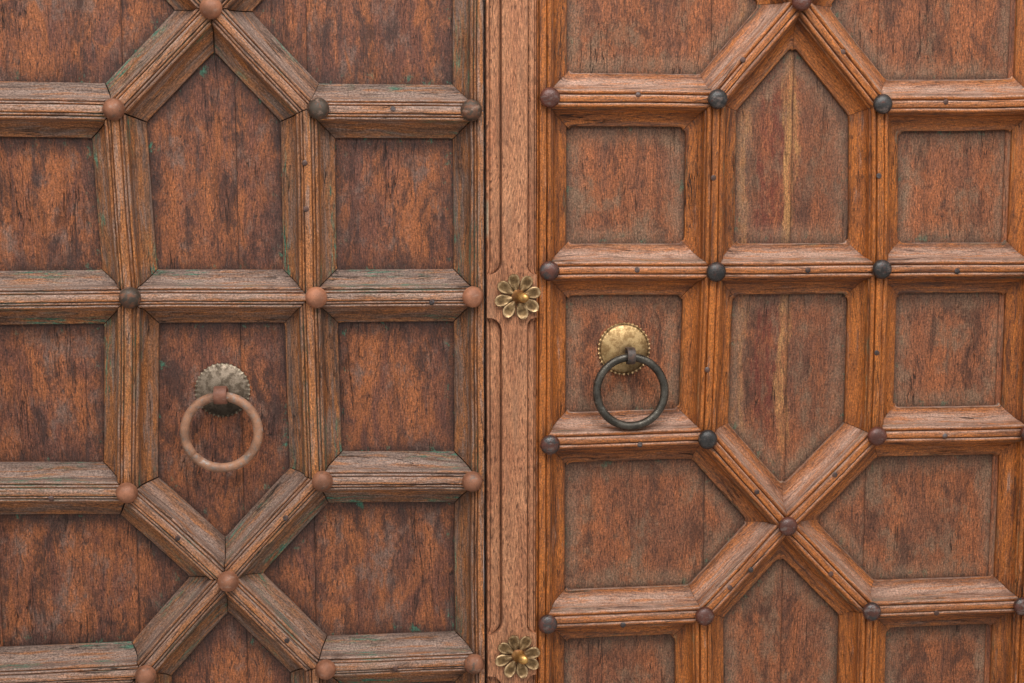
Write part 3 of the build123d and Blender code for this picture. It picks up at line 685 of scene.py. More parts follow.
def add_staple(surface, centre, out, drop, eye, strap, thick, seed):
    """A staple: a strap carried along one line, out of the planks, round the eye's circle and back in, with both
    ends bent apart behind. Its section is a rounded oblong, |x/a|^6 + |y/b|^6 = 1."""
    leg = thick / 2
    mid = eye + leg
    back = 35 + leg
    reach_up = out - math.sqrt(mid**2 - (leg + drop) ** 2)
    reach_down = out - math.sqrt(mid**2 - (drop - leg) ** 2)
    start = math.atan2(leg + drop, reach_up - out)
    end = math.atan2(drop - leg, reach_down - out) - math.tau
    circle = arc((out, -drop), (mid, mid), math.degrees(start), math.degrees(end), 44)
    bent = outline([
        (-back, 37.5), (-back, 20), (-back, 6), (-back + 1.0, leg + 1.2), (-back + 3, leg), (-20, leg), (0, leg),
    ])
    path = outline(bent, (reach_up - 4, leg), circle, (reach_down - 4, -leg), bent[::-1] * [1, -1])
    step = np.gradient(path, axis=0)
    step /= np.linalg.norm(step, axis=1)[:, None]
    turn = np.arange(20) / 20 * math.tau
    c, s = np.cos(turn), np.sin(turn)
    oblong = (np.abs(c) ** 6 + np.abs(s) ** 6) ** (-1 / 6)
    hammered = 1 + 0.02 * ripple(np.arange(len(path))[:, None] * 0.5, turn, seed)
    lift = leg * 0.93 * oblong * s
    x = centre[0] + strap / 2 * 0.98 * oblong * c * MM * hammered
    y = -(path[:, :1] - step[:, 1:] * lift) * MM
    z = centre[1] + (path[:, 1:] + step[:, :1] * lift) * MM
    grain = np.stack(np.broadcast_arrays(np.arange(len(path))[:, None] * 2 * MM, turn * 3 * MM), -1)
    edge = np.broadcast_to(np.abs(c) ** 8, x.shape)
    faces = [face[..., ::-1] for face in tube_faces(*x.shape)]
    surface.add(np.stack([x, y, z], -1), grain, faces, crest=edge, tone=0.5)


# Finishes


def feed(tree, socket, value):
    """Sets a socket to a number or a colour, or links it to another node's output."""
    if isinstance(value, bpy.types.NodeSocket):
        tree.links.new(value, socket)
    elif socket.type == "RGBA":
        socket.default_value = (*value, 1)
    else:
        socket.default_value = value


def add_node(tree, kind, inputs, out=0, **settings):
    """Adds a node with its settings, feeds its inputs by number or name, and gives back one of its outputs."""
    node = tree.nodes.new(kind)
    for key, value in settings.items():
        setattr(node, key, value)
    for key, value in inputs.items():
        feed(tree, node.inputs[key], value)
    return node.outputs[out]


class Finish:
    """A material in the making. Most methods add a node and give back the output that the next one takes. Coats
    are laid over the colour so far, and bumps over the bumps so far."""

    def __init__(self, name, colour=None):
        self.material = bpy.data.materials.new(name)
        self.material.use_nodes = True
        self.colour = colour
        self.relief = {}

    def add(self, kind, inputs, out=0, **settings):
        return add_node(self.material.node_tree, kind, inputs, out, **settings)

    def place(self):
        return self.add("ShaderNodeTexCoord", {}, "Object")

    def shade(self, name):
        return self.add("ShaderNodeAttribute", {}, "Fac", attribute_name=name)

    def noise(self, vector, scale, detail=4.0, roughness=0.55, distortion=0.0, shift=(0, 0)):
        """Noise of about 0 to 1, with scale in cycles per metre along each axis. The last scale given holds for
        the axes that have none, and their shift is 0."""
        inputs = {"Vector": vector, "Scale": (*scale, scale[-1])[:3], "Location": (*shift, 0)[:3]}
        inputs = {"Vector": self.add("ShaderNodeMapping", inputs), "Scale": 1.0}
        inputs |= {"Detail": detail, "Roughness": roughness, "Distortion": distortion}
        return self.add("ShaderNodeTexNoise", inputs, "Fac")

    def spread(self, value, low, high, to_low=0.0, to_high=1.0):
        """Carries a value from one span to another along a smooth step."""
        inputs = dict(enumerate((value, low, high, to_low, to_high)))
        return self.add("ShaderNodeMapRange", inputs, interpolation_type="SMOOTHSTEP")

    def reckon(self, operation, *values):
        return self.add("ShaderNodeMath", dict(enumerate(values)), operation=operation)

    def off(self, value, middle):
        """How far a value is from a middle one."""
        return self.reckon("ABSOLUTE", self.reckon("SUBTRACT", value, middle))

    def times(self, *values):
        result = values[0]
        for value in values[1:]:
            result = self.reckon("MULTIPLY", result, value)
        return result

    def coat(self, over, *shares, kind="MIX"):
        """Lays a colour over the colour so far, as strongly as the product of the shares."""
        inputs = {0: self.times(*shares), 6: self.colour, 7: over}
        self.colour = self.add("ShaderNodeMix", inputs, 2, data_type="RGBA", blend_type=kind)

    def level(self, value):
        """Scales the colour so far."""
        self.coat(self.join(value, value, value), 1.0, kind="MULTIPLY")

    def split(self, vector):
        return self.add("ShaderNodeSeparateXYZ", {0: vector}).node.outputs

    def join(self, *values):
        return self.add("ShaderNodeCombineXYZ", dict(enumerate(values)))

    def bump(self, height, distance, strength):
        inputs = {"Distance": distance, "Strength": strength, "Height": height, **self.relief}
        self.relief = {"Normal": self.add("ShaderNodeBump", inputs)}

    def finish(self, roughness, metallic=0.0):
        tree = self.material.node_tree
        inputs = {"Base Color": self.colour, "Roughness": roughness, "Metallic": metallic, **self.relief}
        for name, value in inputs.items():
            feed(tree, tree.nodes["Principled BSDF"].inputs[name], value)
        return self.material


def darker(colour, level):
    return tuple(channel * level for channel in colour)


class Wood(Finish):
    """The body of a wood: broad patches, dark streaks, fine fibres, open pores along the grain, cracks and specks,
    each a noise stretched along the grain, which is the piece's own map or runs along X or Z."""

    def __init__(self, name, axis, colours, streak, patch, speck=0.30, crack=1.0):
        self.dark, mid, self.warm, self.grey = colours
        super().__init__(name, mid)
        if axis == "map":
            self.vector = self.add("ShaderNodeUVMap", {}, "UV", uv_map="grain")
        else:
            x, y, z = self.split(self.place())
            self.vector = self.join(*{"x": (x, z, y), "z": (z, x, y)}[axis])
        x, y, z = self.split(self.vector)
        y = self.reckon("MULTIPLY_ADD", self.noise(self.vector, (3.0, 9), 3.0), 0.045, y)
        self.waved = waved = self.join(x, y, z)
        patches = self.noise(waved, (7, 18), 6.0, 0.65, 0.7)
        self.streaks = self.noise(waved, (6, 85), 6.0, 0.65, shift=(3, 1))
        self.fibres = self.noise(waved, (80, 560), 4.0, 0.72, shift=(1, 5))
        self.pores = self.noise(waved, (75, 330), 2.0, 0.5, shift=(7, 2))
        self.speckle = self.noise(self.vector, (300, 340), 3.0, 0.8, shift=(2, 2))
        line = self.off(self.noise(waved, (3.0, 60), 4.0, 0.5, shift=(2, 7)), 0.5)
        where = self.spread(self.noise(self.vector, (7, 15), 3.0, shift=(4, 0)), 0.50, 0.60)
        self.cracks = self.times(self.spread(line, 0.007, 0.0015), where, crack)
        self.speck = speck
        self.coat(self.warm, self.spread(patches, 0.5 - patch, 0.5 + patch))
        self.coat(self.dark, self.spread(self.streaks, 0.50, 0.50 + streak, 0, 0.85))
        self.coat(self.warm, self.spread(self.streaks, 0.42, 0.30, 0, 0.5))
        self.level(self.spread(self.fibres, 0.34, 0.66, 0.74, 1.26))
        self.coat(darker(self.dark, 0.7), self.spread(self.pores, 0.58, 0.67, 0, 0.8))

    def close(self, value, low, high, depth=1.0):
        """Adds the cracks and the bump, spreads a value to the roughness, and ends the material."""
        flecks = self.spread(self.speckle, 0.33, 0.67, 1 - self.speck, 1 + self.speck)
        self.level(self.times(flecks, self.spread(self.fibres, 0.34, 0.66, 0.80, 1.20)))
        self.coat(darker(self.dark, 0.3), self.cracks, 0.9)
        pores = self.spread(self.pores, 0.70, 0.58, 0, 0.5)
        grain = self.reckon("ADD", self.spread(self.fibres, 0.2, 0.8, 0, 0.6), pores)
        self.bump(self.reckon("MULTIPLY_ADD", self.speckle, 0.45, grain), 0.0011 * depth, 0.8)
        coarse = self.reckon("SUBTRACT", self.spread(self.streaks, 0.3, 0.7), self.times(self.cracks, 1.6))
        self.bump(coarse, 0.0013 * depth, 0.85)
        return self.finish(self.spread(value, 0.3, 0.7, low, high))


def palette(look, wood):
    return [tuple(getattr(look, f"{wood}_{shade}")) for shade in SHADES]


# What differs between the mouldings of the leaves: specks, where grey weathering begins, dust on level battens and on
# what faces up, the painted lightness of what faces down, the painted highlight on the crests, old paint, roughness
# and depth of the bump
MOULDING_LOOK = {
    "left": (0.52, 0.44, 0.60, 0.60, 1.25, 0.34, 0.85, (0.50, 0.82), 1.25),
    "right": (0.42, 0.56, 0.14, 0.86, 0.85, 0.10, 0.25, (0.34, 0.66), 0.95),
}


def moulding_wood(side, look):
    """Wood of the battens: dust on what faces up, what faces down painted lighter on the left leaf and darker on the
    right, dirt and old paint in the hollows and joints, grey weathering, and worn warm crests with a painted
    highlight."""
    speck, grey_from, level_dust, up_dust, down_level, crest_highlight, paint, roughness, depth = MOULDING_LOOK[side]
    w = Wood(f"{side}_moulding_wood", "map", palette(look, f"{side}_moulding"), 0.15, 0.14, speck)
    tone, upward, hollow = w.shade("tone"), w.shade("upward"), w.shade("hollow")
    w.coat(w.warm, w.spread(tone, 0.35, 1.0, 0, 0.35))
    w.coat(w.dark, w.spread(tone, 0.45, 0.0, 0, 0.30))
    lines = w.noise(w.waved, (5, 210), 3.0, 0.6, shift=(8, 1))
    weather = w.noise(w.vector, (10, 55), 6.0, 0.72, shift=(4, 4))
    grey = w.spread(weather, grey_from, grey_from + 0.12, 0, 0.75)
    w.coat(darker(w.grey, 0.75), grey, w.spread(lines, 0.44, 0.56, 0.35, 1.0))
    dust = w.times(w.spread(w.shade("level"), 0.5, 1.0), w.spread(upward, -0.5, 0.1), level_dust)
    dust = w.reckon("MULTIPLY_ADD", w.spread(upward, 0.0, 0.75), up_dust, dust)
    clouds = w.noise(w.vector, (14, 70), 6.0, 0.75, shift=(9, 2))
    dust = w.times(dust, w.spread(clouds, 0.30, 0.58, 0.25, 1.15))
    crest = w.spread(w.shade("crest"), 0.80, 1.0)
    w.coat(w.warm, crest, w.spread(lines, 0.54, 0.40, 0.1, 0.6))
    w.coat(w.grey, w.reckon("MINIMUM", dust, 0.92))
    # Painted light and shade: what faces down is made lighter on the left leaf and darker on the right
    w.level(w.spread(upward, -0.05, -0.7, 1.0, down_level))
    # Painted highlight: the crowns are made lighter
    w.level(w.reckon("MULTIPLY_ADD", crest, crest_highlight, 1.0))
    dirt = w.times(hollow, w.spread(w.speckle, 0.34, 0.60, 0.35, 1.0), w.spread(weather, 0.30, 0.60, 0.25, 0.95))
    w.coat(darker(w.dark, 0.45), dirt, 0.66)
    w.coat(w.dark, w.shade("joint"), w.spread(weather, 0.38, 0.6, 0.1, 0.8), 0.55)
    streaks = w.noise(w.waved, (9, 150), 5.0, 0.7, shift=(5, 8))
    w.coat(w.warm, w.spread(streaks, 0.52, 0.62, 0, 0.7))
    w.coat(w.dark, w.spread(streaks, 0.46, 0.36, 0, 0.6))
    patch = w.spread(w.noise(w.vector, (5, 12), 4.0, 0.6, shift=(2, 8)), 0.50, 0.60)
    chips = w.spread(w.noise(w.vector, (30, 280), 4.0, 0.7, shift=(6, 6)), 0.49, 0.58)
    w.coat(tuple(look.paint), patch, chips, w.spread(hollow, 0.05, 0.6, 0.14 * paint, paint))
    w.coat(w.dark, w.shade("dent"), 0.5)
    return w.close(weather, *roughness, depth)


# What differs between the boards of the leaves: glow of the warm patches, old paint and roughness
BOARD_LOOK = {"left": (0.85, 0.80, (0.42, 0.80)), "right": (0.38, 0.45, (0.52, 0.88))}


def board_wood(side, look):
    """Wood of the planks: knots and cracks, dark or dusty borders beside the battens, painted shade in the creases
    along them, a painted shadow below each rail, darker seams. The right leaf's planks have long bands of sapwood and
    heartwood, each between two values of X in metres."""
    warmth, paint, roughness = BOARD_LOOK[side]
    w = Wood(f"{side}_board_wood", "map", palette(look, f"{side}_board"), 0.20, 0.13, 0.50)
    bloom = w.noise(w.vector, (11, 15), 7.0, 0.74, shift=(5, 3))
    w.coat(w.grey, w.spread(bloom, 0.49, 0.64, 0, 0.80))
    w.coat(w.warm, w.spread(w.noise(w.vector, (8, 22), 6.0, 0.66, 0.9, (9, 6)), 0.54, 0.66, 0, warmth))
    deep = w.noise(w.vector, (10, 24), 7.0, 0.74, 0.5, (6, 9))
    w.coat(darker(w.dark, 0.85), w.spread(deep, 0.50, 0.63, 0, 0.80))
    if side == "right":
        x, _, z = w.split(w.place())
        x = w.reckon("MULTIPLY_ADD", w.reckon("SUBTRACT", w.noise(w.vector, (5, 16), 6.0, 0.7), 0.5), 0.075, x)
        patchy = w.spread(w.noise(w.vector, (22, 60), 6.0, 0.75, shift=(2, 3)), 0.42, 0.56, 0.3, 1.0)
        tall = w.times(w.spread(z, 2.02, 1.90), w.spread(z, 1.02, 1.16), patchy)
        broken = w.spread(w.streaks, 0.62, 0.44, 0.3, 1.0)
        for low, high, share, colour in (
            (0.476, 0.560, 0.55, darker(w.dark, 1.3)), (0.412, 0.456, 0.85, tuple(look.heartwood)),
            (0.398, 0.410, 0.60, darker(w.dark, 0.6)), (0.376, 0.396, 0.55, tuple(look.sapwood)),
            (0.454, 0.474, 0.90, tuple(look.sapwood)),
        ):
            band = w.times(w.spread(x, low - 0.003, low + 0.003), w.spread(x, high + 0.003, high - 0.003))
            w.coat(colour, band, tall, broken, share)
    border = w.shade("border")
    cloud = w.noise(w.vector, (26, 30), 7.0, 0.78, shift=(1, 1))
    rim = w.times(w.spread(border, 0.15, 1.0), w.spread(cloud, 0.34, 0.60, 0.05, 1.0))
    w.coat(w.dark if side == "left" else tuple(look.dust), rim, 0.60)
    # Painted shadow just below each rail
    w.coat(darker(w.dark, 0.75), w.shade("shelter"), w.spread(cloud, 0.25, 0.55, 0.6, 1.0), 0.55)
    # Painted shade in the crease beside the battens
    w.coat(darker(w.dark, 0.55), w.shade("corner"), w.spread(cloud, 0.30, 0.55, 0.25, 1.0), 0.80)
    spots = w.spread(w.noise(w.vector, (34, 40), 6.0, 0.75, shift=(8, 8)), 0.57, 0.65)
    w.coat(tuple(look.paint), w.spread(border, 0.66, 1.0), spots, paint)
    scratch = w.off(w.noise(w.vector, (14, 40), 2.0, 0.4, 2.2, (3, 9)), 0.56)
    w.coat(darker(w.grey, 1.5), w.spread(scratch, 0.0045, 0.001), 0.30)
    w.coat(darker(w.dark, 0.5), w.shade("seam"), 0.35)
    return w.close(bloom, *roughness, 1.1)


def plain_wood(name, axis, colours):
    """Wood of the pieces around: patches, streaks and pores with grey weathering, grained along one axis."""
    w = Wood(name, axis, colours, 0.18, 0.16)
    weather = w.noise(w.waved, (6, 26), 7.0, 0.72, shift=(4, 4))
    w.coat(w.grey, w.spread(weather, 0.46, 0.62, 0, 0.65))
    return w.close(weather, 0.48, 0.78)


# Where the bruise on the strip lies, in metres
BRUISE_X = -0.0455
BRUISE_Z = 1.471


def strip_wood(look):
    """Wood of the meeting strip: pale, open pored, darker in its grooves and along a few long streaks, with a bare
    bruise on its left edge."""
    w = Wood("strip_wood", "map", palette(look, "strip"), 0.26, 0.20, 0.18, 0.7)
    w.coat(w.dark, w.spread(w.noise(w.vector, (48, 700), 1.0, shift=(3, 3)), 0.60, 0.68, 0, 0.75))
    stain = w.noise(w.vector, (4, 40), 6.0, 0.66, shift=(6, 1))
    w.coat(w.grey, w.spread(stain, 0.52, 0.66, 0, 0.6))
    x, _, z = w.split(w.place())
    bruise = w.times(w.spread(x, BRUISE_X, BRUISE_X - 0.002), w.spread(w.off(z, BRUISE_Z), 0.034, 0.022))
    w.coat((0.46, 0.36, 0.24), bruise, 0.8)
    w.coat(darker(w.dark, 0.35), w.shade("hollow"), w.spread(stain, 0.35, 0.6, 0.6, 1.0), 0.70)
    return w.close(stain, 0.52, 0.78, 0.85)


# Each iron's dark skin and rust, how much stays dark, its bright places, partly rubbed and partly painted highlight,
# roughness, metallic, and how much the rust differs from head to head
IRONS = {
    "left_stud_iron": ((0.160, 0.125, 0.095), (0.460, 0.185, 0.098), 0.46, (0.42, 0.27, 0.20), 0.42, 0.3, 0.5),
    "right_stud_iron": ((0.075, 0.072, 0.070), (0.160, 0.048, 0.030), 0.50, (0.22, 0.16, 0.14), 0.10, 0.3, 0.42),
    "nail_iron": ((0.055, 0.045, 0.045), (0.120, 0.055, 0.038), 0.48, (0.20, 0.18, 0.18), 0.35, 0.4, 0.22),
    "left_ring_iron": ((0.250, 0.205, 0.175), (0.380, 0.185, 0.105), 0.52, (0.50, 0.44, 0.40), 0.40, 0.35, 0.22),
    "right_ring_iron": ((0.074, 0.066, 0.054), (0.110, 0.065, 0.042), 0.76, (0.19, 0.175, 0.15), 0.22, 0.7, 0.22),
    "left_staple_iron": ((0.200, 0.085, 0.055), (0.320, 0.130, 0.080), 0.30, (0.46, 0.28, 0.21), 0.55, 0.2, 0.22),
    "right_staple_iron": ((0.095, 0.075, 0.066), (0.150, 0.085, 0.062), 0.50, (0.30, 0.23, 0.20), 0.38, 0.5, 0.22),
    "pivot_iron": ((0.085, 0.075, 0.070), (0.150, 0.080, 0.050), 0.50, (0.22, 0.20, 0.18), 0.36, 0.6, 0.22),
}

# Each brass's own colour, its mottles, its painted highlight on tips and its roughness
BRASSES = {
    "left_plate_bronze": ((0.290, 0.225, 0.165), (0.100, 0.072, 0.048), (0.40, 0.33, 0.23), 0.40),
    "right_plate_brass": ((0.60, 0.40, 0.185), (0.27, 0.155, 0.060), (0.95, 0.60, 0.30), 0.30),
    "flower_brass": ((0.38, 0.230, 0.100), (0.140, 0.076, 0.031), (0.72, 0.50, 0.28), 0.36),
    "flower_knob_brass": ((0.27, 0.110, 0.038), (0.14, 0.048, 0.020), (0.85, 0.50, 0.15), 0.22),
}


def forged_iron(name):
    """Iron: a dark skin, rust in clouds and specks that differs from head to head, bright places that are partly
    rubbed metal and partly a painted highlight, a little more on the crests, and a hammered unevenness."""
    base, rust, share, bright, rough, metallic, vary = IRONS[name]
    f = Finish(name, base)
    vector, tone = f.place(), f.shade("tone")
    cloud = f.noise(vector, (85, 85), 7.0, 0.74)
    fine = f.noise(vector, (600, 600), 4.0, 0.75)
    rusty = f.reckon("MULTIPLY_ADD", tone, vary, cloud)
    f.coat(rust, f.spread(rusty, share + 0.06, share + 0.20, 0, 0.95))
    f.coat(darker(rust, 0.45), f.spread(fine, 0.50, 0.68, 0, 0.65))
    level = f.spread(f.noise(vector, (40, 40), 4.0, shift=(3, 1, 2)), 0.35, 0.65, 0.72, 1.3)
    f.level(f.times(level, f.spread(tone, 0, 1, 1 - vary, 1.0)))
    # Bright places: partly rubbed metal, partly painted highlight
    rubbed_and_highlight = f.noise(vector, (45, 45, 90), 5.0, 0.65, shift=(5, 5))
    rubbed_and_highlight = f.reckon("MULTIPLY_ADD", f.shade("crest"), 0.06, rubbed_and_highlight)
    f.coat(bright, f.spread(rubbed_and_highlight, 0.60, 0.72, 0, 0.7))
    f.bump(cloud, 0.0012, 0.5)
    f.bump(fine, 0.0006, 0.7)
    metal = f.spread(rusty, share + 0.2, share, 0.15 * metallic, metallic)
    return f.finish(f.spread(cloud, 0.35, 0.65, rough, rough + 0.28), metal)


def old_brass(name):
    """Brass: mottled and dull, with painted shade where the shades mark hollows and a painted highlight where they
    mark tips, rims and the tops of knobs.
    """
    base, dark, bright, rough = BRASSES[name]
    f = Finish(name, base)
    vector = f.place()
    cloud = f.noise(vector, (90, 90), 7.0, 0.72)
    fine = f.noise(vector, (620, 620), 4.0, 0.75)
    f.coat(dark, f.spread(cloud, 0.42, 0.60, 0, 0.85))
    f.coat(darker(dark, 0.55), f.spread(fine, 0.50, 0.70, 0, 0.6))
    # Painted shade where the hollow shade is high
    f.coat(darker(dark, 0.22), f.shade("hollow"), 0.88)
    # Painted highlight where the crest shade is high
    f.coat(bright, f.shade("crest"), f.spread(cloud, 0.66, 0.38, 0.3, 1.0), 0.85)
    f.bump(cloud, 0.0010, 0.5)
    f.bump(fine, 0.0005, 0.6)
    return f.finish(f.spread(cloud, 0.35, 0.65, rough, rough + 0.25), 0.7)


# Settings


# Each wood's colours in the order of the shades
SHADES = ("dark", "mid", "warm", "grey")
WOODS = {
    "left_moulding": ((0.066, 0.028, 0.016), (0.210, 0.092, 0.046), (0.440, 0.160, 0.048), (0.380, 0.265, 0.215)),
    "right_moulding": ((0.090, 0.026, 0.010), (0.360, 0.110, 0.028), (0.540, 0.165, 0.030), (0.560, 0.350, 0.260)),
    "left_board": ((0.062, 0.027, 0.021), (0.185, 0.067, 0.041), (0.400, 0.130, 0.046), (0.225, 0.145, 0.115)),
    "right_board": ((0.115, 0.045, 0.027), (0.250, 0.092, 0.047), (0.400, 0.130, 0.050), (0.270, 0.165, 0.104)),
    "strip": ((0.190, 0.070, 0.034), (0.460, 0.180, 0.086), (0.600, 0.270, 0.135), (0.380, 0.190, 0.108)),
    "frame": ((0.070, 0.036, 0.022), (0.190, 0.100, 0.058), (0.300, 0.150, 0.076), (0.240, 0.175, 0.130)),
    "ledge": ((0.080, 0.042, 0.026), (0.210, 0.115, 0.068), (0.300, 0.160, 0.090), (0.260, 0.195, 0.145)),
}


def tint(name, colour):
    label = name.replace("_", " ").capitalize()
    return FloatVectorProperty(
        name=label, description=f"{label}, linear", subtype="COLOR", default=colour, min=0, max=1
    )


def number(name, description, value, **kind):
    return FloatProperty(name=name, description=description, default=value, **kind)


def length(name, description, value):
    return number(name, description, value, unit="LENGTH", precision=4)


class DoorShape(bpy.types.PropertyGroup):
    step: length("Moulding step", "Spacing of points along a batten", 0.011)
    board_step: length("Board step", "Spacing of points across a board", 0.007)
    left_joint_gap: length("Left joint gap", "Widest gap at a mitre of the left leaf", 0.0016)
    right_joint_gap: length("Right joint gap", "Widest gap at a mitre of the right leaf", 0.0006)
    left_corner: length("Left corner", "Radius in the panels' corners of the left leaf", 0.003)
    right_corner: length("Right corner", "Radius in the panels' corners of the right leaf", 0.016)
    wear: length("Wear", "Depth of worn crests and dents", 0.0009)
    strip_step: number("Strip step", "Spacing of points along the strip, in millimetres", 7.0)
    block_length: number("Block", "Length of a block under a flower, in millimetres", 70.0)
    unevenness: number("Unevenness", "How strongly the boards ripple", 1.0)
    seed: IntProperty(name="Seed", description="Seed of the unevenness of battens and boards", default=4)


class DoorLook(bpy.types.PropertyGroup):
    paint: tint("old_paint", (0.045, 0.200, 0.130))
    dust: tint("dust", (0.330, 0.215, 0.140))
    sapwood: tint("sapwood", (0.560, 0.270, 0.100))
    heartwood: tint("heartwood", (0.170, 0.036, 0.022))


# The colours of the woods are settings too
for wood, colours in WOODS.items():
    for shade, colour in zip(SHADES, colours):
        DoorLook.__annotations__[f"{wood}_{shade}"] = tint(f"{wood}_{shade}", colour)


class DoorStage(bpy.types.PropertyGroup):
    camera_place: FloatVectorProperty(
        name="Camera", description="Where the camera stands", default=(-0.233, -2.147, 1.490), subtype="TRANSLATION"
    )
    camera_turn: number("Turn", "Turn to the right", math.radians(6.07), subtype="ANGLE")
    camera_dip: number("Dip", "Tilt downwards", math.radians(5.94), subtype="ANGLE")
    lens: number("Lens", "Focal length on a 36 mm sensor", 45.6)
    sky: number("Sky", "Strength of the light from all round", 0.25)
    key: number("Key", "Power of the overhead light in watts", 176.0)


# Operators


GRIDS = {name: LeafGrid(name) for name in SIDES}


class DOOR_OT_mouldings(bpy.types.Operator):
    """Make the moulded battens of both leaves"""

    bl_idname = "door.mouldings"
    bl_label = "Mouldings"

    def execute(self, context):
        shape = context.scene.door_shape
        for side, grid in GRIDS.items():
            material = moulding_wood(side, context.scene.door_look)
            surfaces = {}
            for number, (node, start, end) in enumerate(grid.battens):
                surface = surfaces.setdefault(node, Surface())
                seed = 1000 * shape.seed + 17 * number + (500 if side == "right" else 0)
                add_batten(surface, grid, start, end, shape, seed)
            for node, surface in surfaces.items():
                surface.build(f"{node}_moulding", f"{side}_leaf", f"{side}_batten_wood", material, [node])
        return {"FINISHED"}


class DOOR_OT_boards(bpy.types.Operator):
    """Make the planks of both leaves"""

    bl_idname = "door.boards"
    bl_label = "Boards"

    def execute(self, context):
        shape = context.scene.door_shape
        for side, grid in GRIDS.items():
            material = board_wood(side, context.scene.door_look)
            for number in range(1, 5):
                node = f"{side}_plank_{number}"
                surface = Surface()
                seed = 31 * number + (7 if side == "right" else 0) + shape.seed
                add_board(surface, grid, *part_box(node), seed, shape)
                surface.build(f"{side}_board_{number}", f"{side}_leaf", f"{side}_board_wood", material, [node])
        return {"FINISHED"}


class DOOR_OT_studs(bpy.types.Operator):
    """Make the studs on the junctions"""

    bl_idname = "door.studs"
    bl_label = "Studs"

    def execute(self, context):
        for side, grid in GRIDS.items():
            surface = Surface()
            rng = np.random.default_rng(8)
            for number, key in enumerate(grid.spokes):
                tone = rng.uniform(*((0.0, 0.12) if key in BLACKENED[side] else (0.3, 0.7)))
                tone = 1.0 if key in RUSTIEST[side] else tone
                place = grid.stud(key)
                add_round(surface, place, STUD_SEAT, STUD_PROFILE[side], 28, 40 + number, 0.018, tone=tone)
            iron = f"{side}_stud_iron"
            surface.build(f"{side}_stud_heads", f"{side}_leaf", iron, forged_iron(iron), [f"{side}_studs"])
        return {"FINISHED"}


class DOOR_OT_nails(bpy.types.Operator):
    """Make the nails of the mouldings"""

    bl_idname = "door.nails"
    bl_label = "Nails"

    def execute(self, context):
        iron = forged_iron("nail_iron")
        for side, grid in GRIDS.items():
            rng = np.random.default_rng(12)
            places = [np.array(place) * MM for place in NAILS[side]]
            for _, start, end in grid.battens:
                share = rng.uniform(0.35, 0.65)
                place = grid.junction(start) * (1 - share) + grid.junction(end) * share
                seen = SEEN[0] < place[0] < SEEN[1] and SEEN[2] < place[1] < SEEN[3]
                if not seen and rng.uniform() < 0.6 and min(grid.to_edges(place)) > HALF_WIDTH * MM:
                    places.append(place)
            surface = Surface()
            for number, place in enumerate(places):
                add_round(surface, place, NAIL_SEAT, NAIL_PROFILE, 12, 300 + number, 0.05)
            surface.build(f"{side}_nails", f"{side}_leaf", f"{side}_stud_iron", iron)
        return {"FINISHED"}


# The distance between the middle flowers in metres, and the petals of each flower
FLOWER_SPACING = 0.605
PETALS = 8


def flower_places():
    """The X and Z of each flower: five heights about the middle row, the outer two from the solids' box."""
    low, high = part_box("strip_flowers")
    middle = GRIDS["left"].rows[4]
    reach = (high.z - low.z) / 2 - (high.x - low.x) / 2
    centre = (low.z + high.z) / 2
    heights = (centre - reach, middle - FLOWER_SPACING, middle, middle + FLOWER_SPACING, centre + reach)
    return [((low.x + high.x) / 2, z) for z in heights]


class DOOR_OT_strip(bpy.types.Operator):
    """Make the meeting strip"""

    bl_idname = "door.strip"
    bl_label = "Meeting strip"

    def execute(self, context):
        surface = Surface()
        flowers = [z for _, z in flower_places()]
        add_strip(surface, *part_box("meeting_strip"), flowers, context.scene.door_shape)
        material = strip_wood(context.scene.door_look)
        surface.build("strip_moulding", "right_leaf", "strip_wood", material, ["meeting_strip"])
        return {"FINISHED"}


class DOOR_OT_flowers(bpy.types.Operator):
    """Make the brass flowers of the strip"""

    bl_idname = "door.flowers"
    bl_label = "Flowers"

    def execute(self, context):
        petals, knobs = Surface(), Surface()
        rng = np.random.default_rng(5)
        for number, place in enumerate(flower_places()):
            for petal in range(PETALS):
                turn = (petal + 0.30 + rng.uniform(-0.06, 0.06)) / PETALS * math.tau
                add_petal(petals, place, turn, 60 + PETALS * number + petal)
            seed = 90 + number
            add_round(knobs, place, STRIP_HEIGHT, KNOB_PROFILE, 30, seed, 0.012, (0.40, -0.06), 0.06, hollow=0.0)
        petals.build("flower_petals", "right_leaf", "flower_brass", old_brass("flower_brass"), ["strip_flowers"])
        knobs.build("flower_knobs", "right_leaf", "flower_brass", old_brass("flower_knob_brass"))
        return {"FINISHED"}


# Each ring's wire, its eye's distance from the boards, that eye's drop and radius, its strap's width, all in
# millimetres, the angle of its weld, the plate's curl and the side it is painted shaded towards, and the plate's slot
RINGS = {
    "left": (7.8, 30, 4, 10.5, 21, math.radians(219), 0.0, (0.1, -1.0), "left_plate_bronze"),
    "right": (7, 28, 9, 10, 14, math.radians(-37), 1.0, (0.45, -0.6), "right_plate_brass"),
}
STRAP_THICKNESS = 4.5


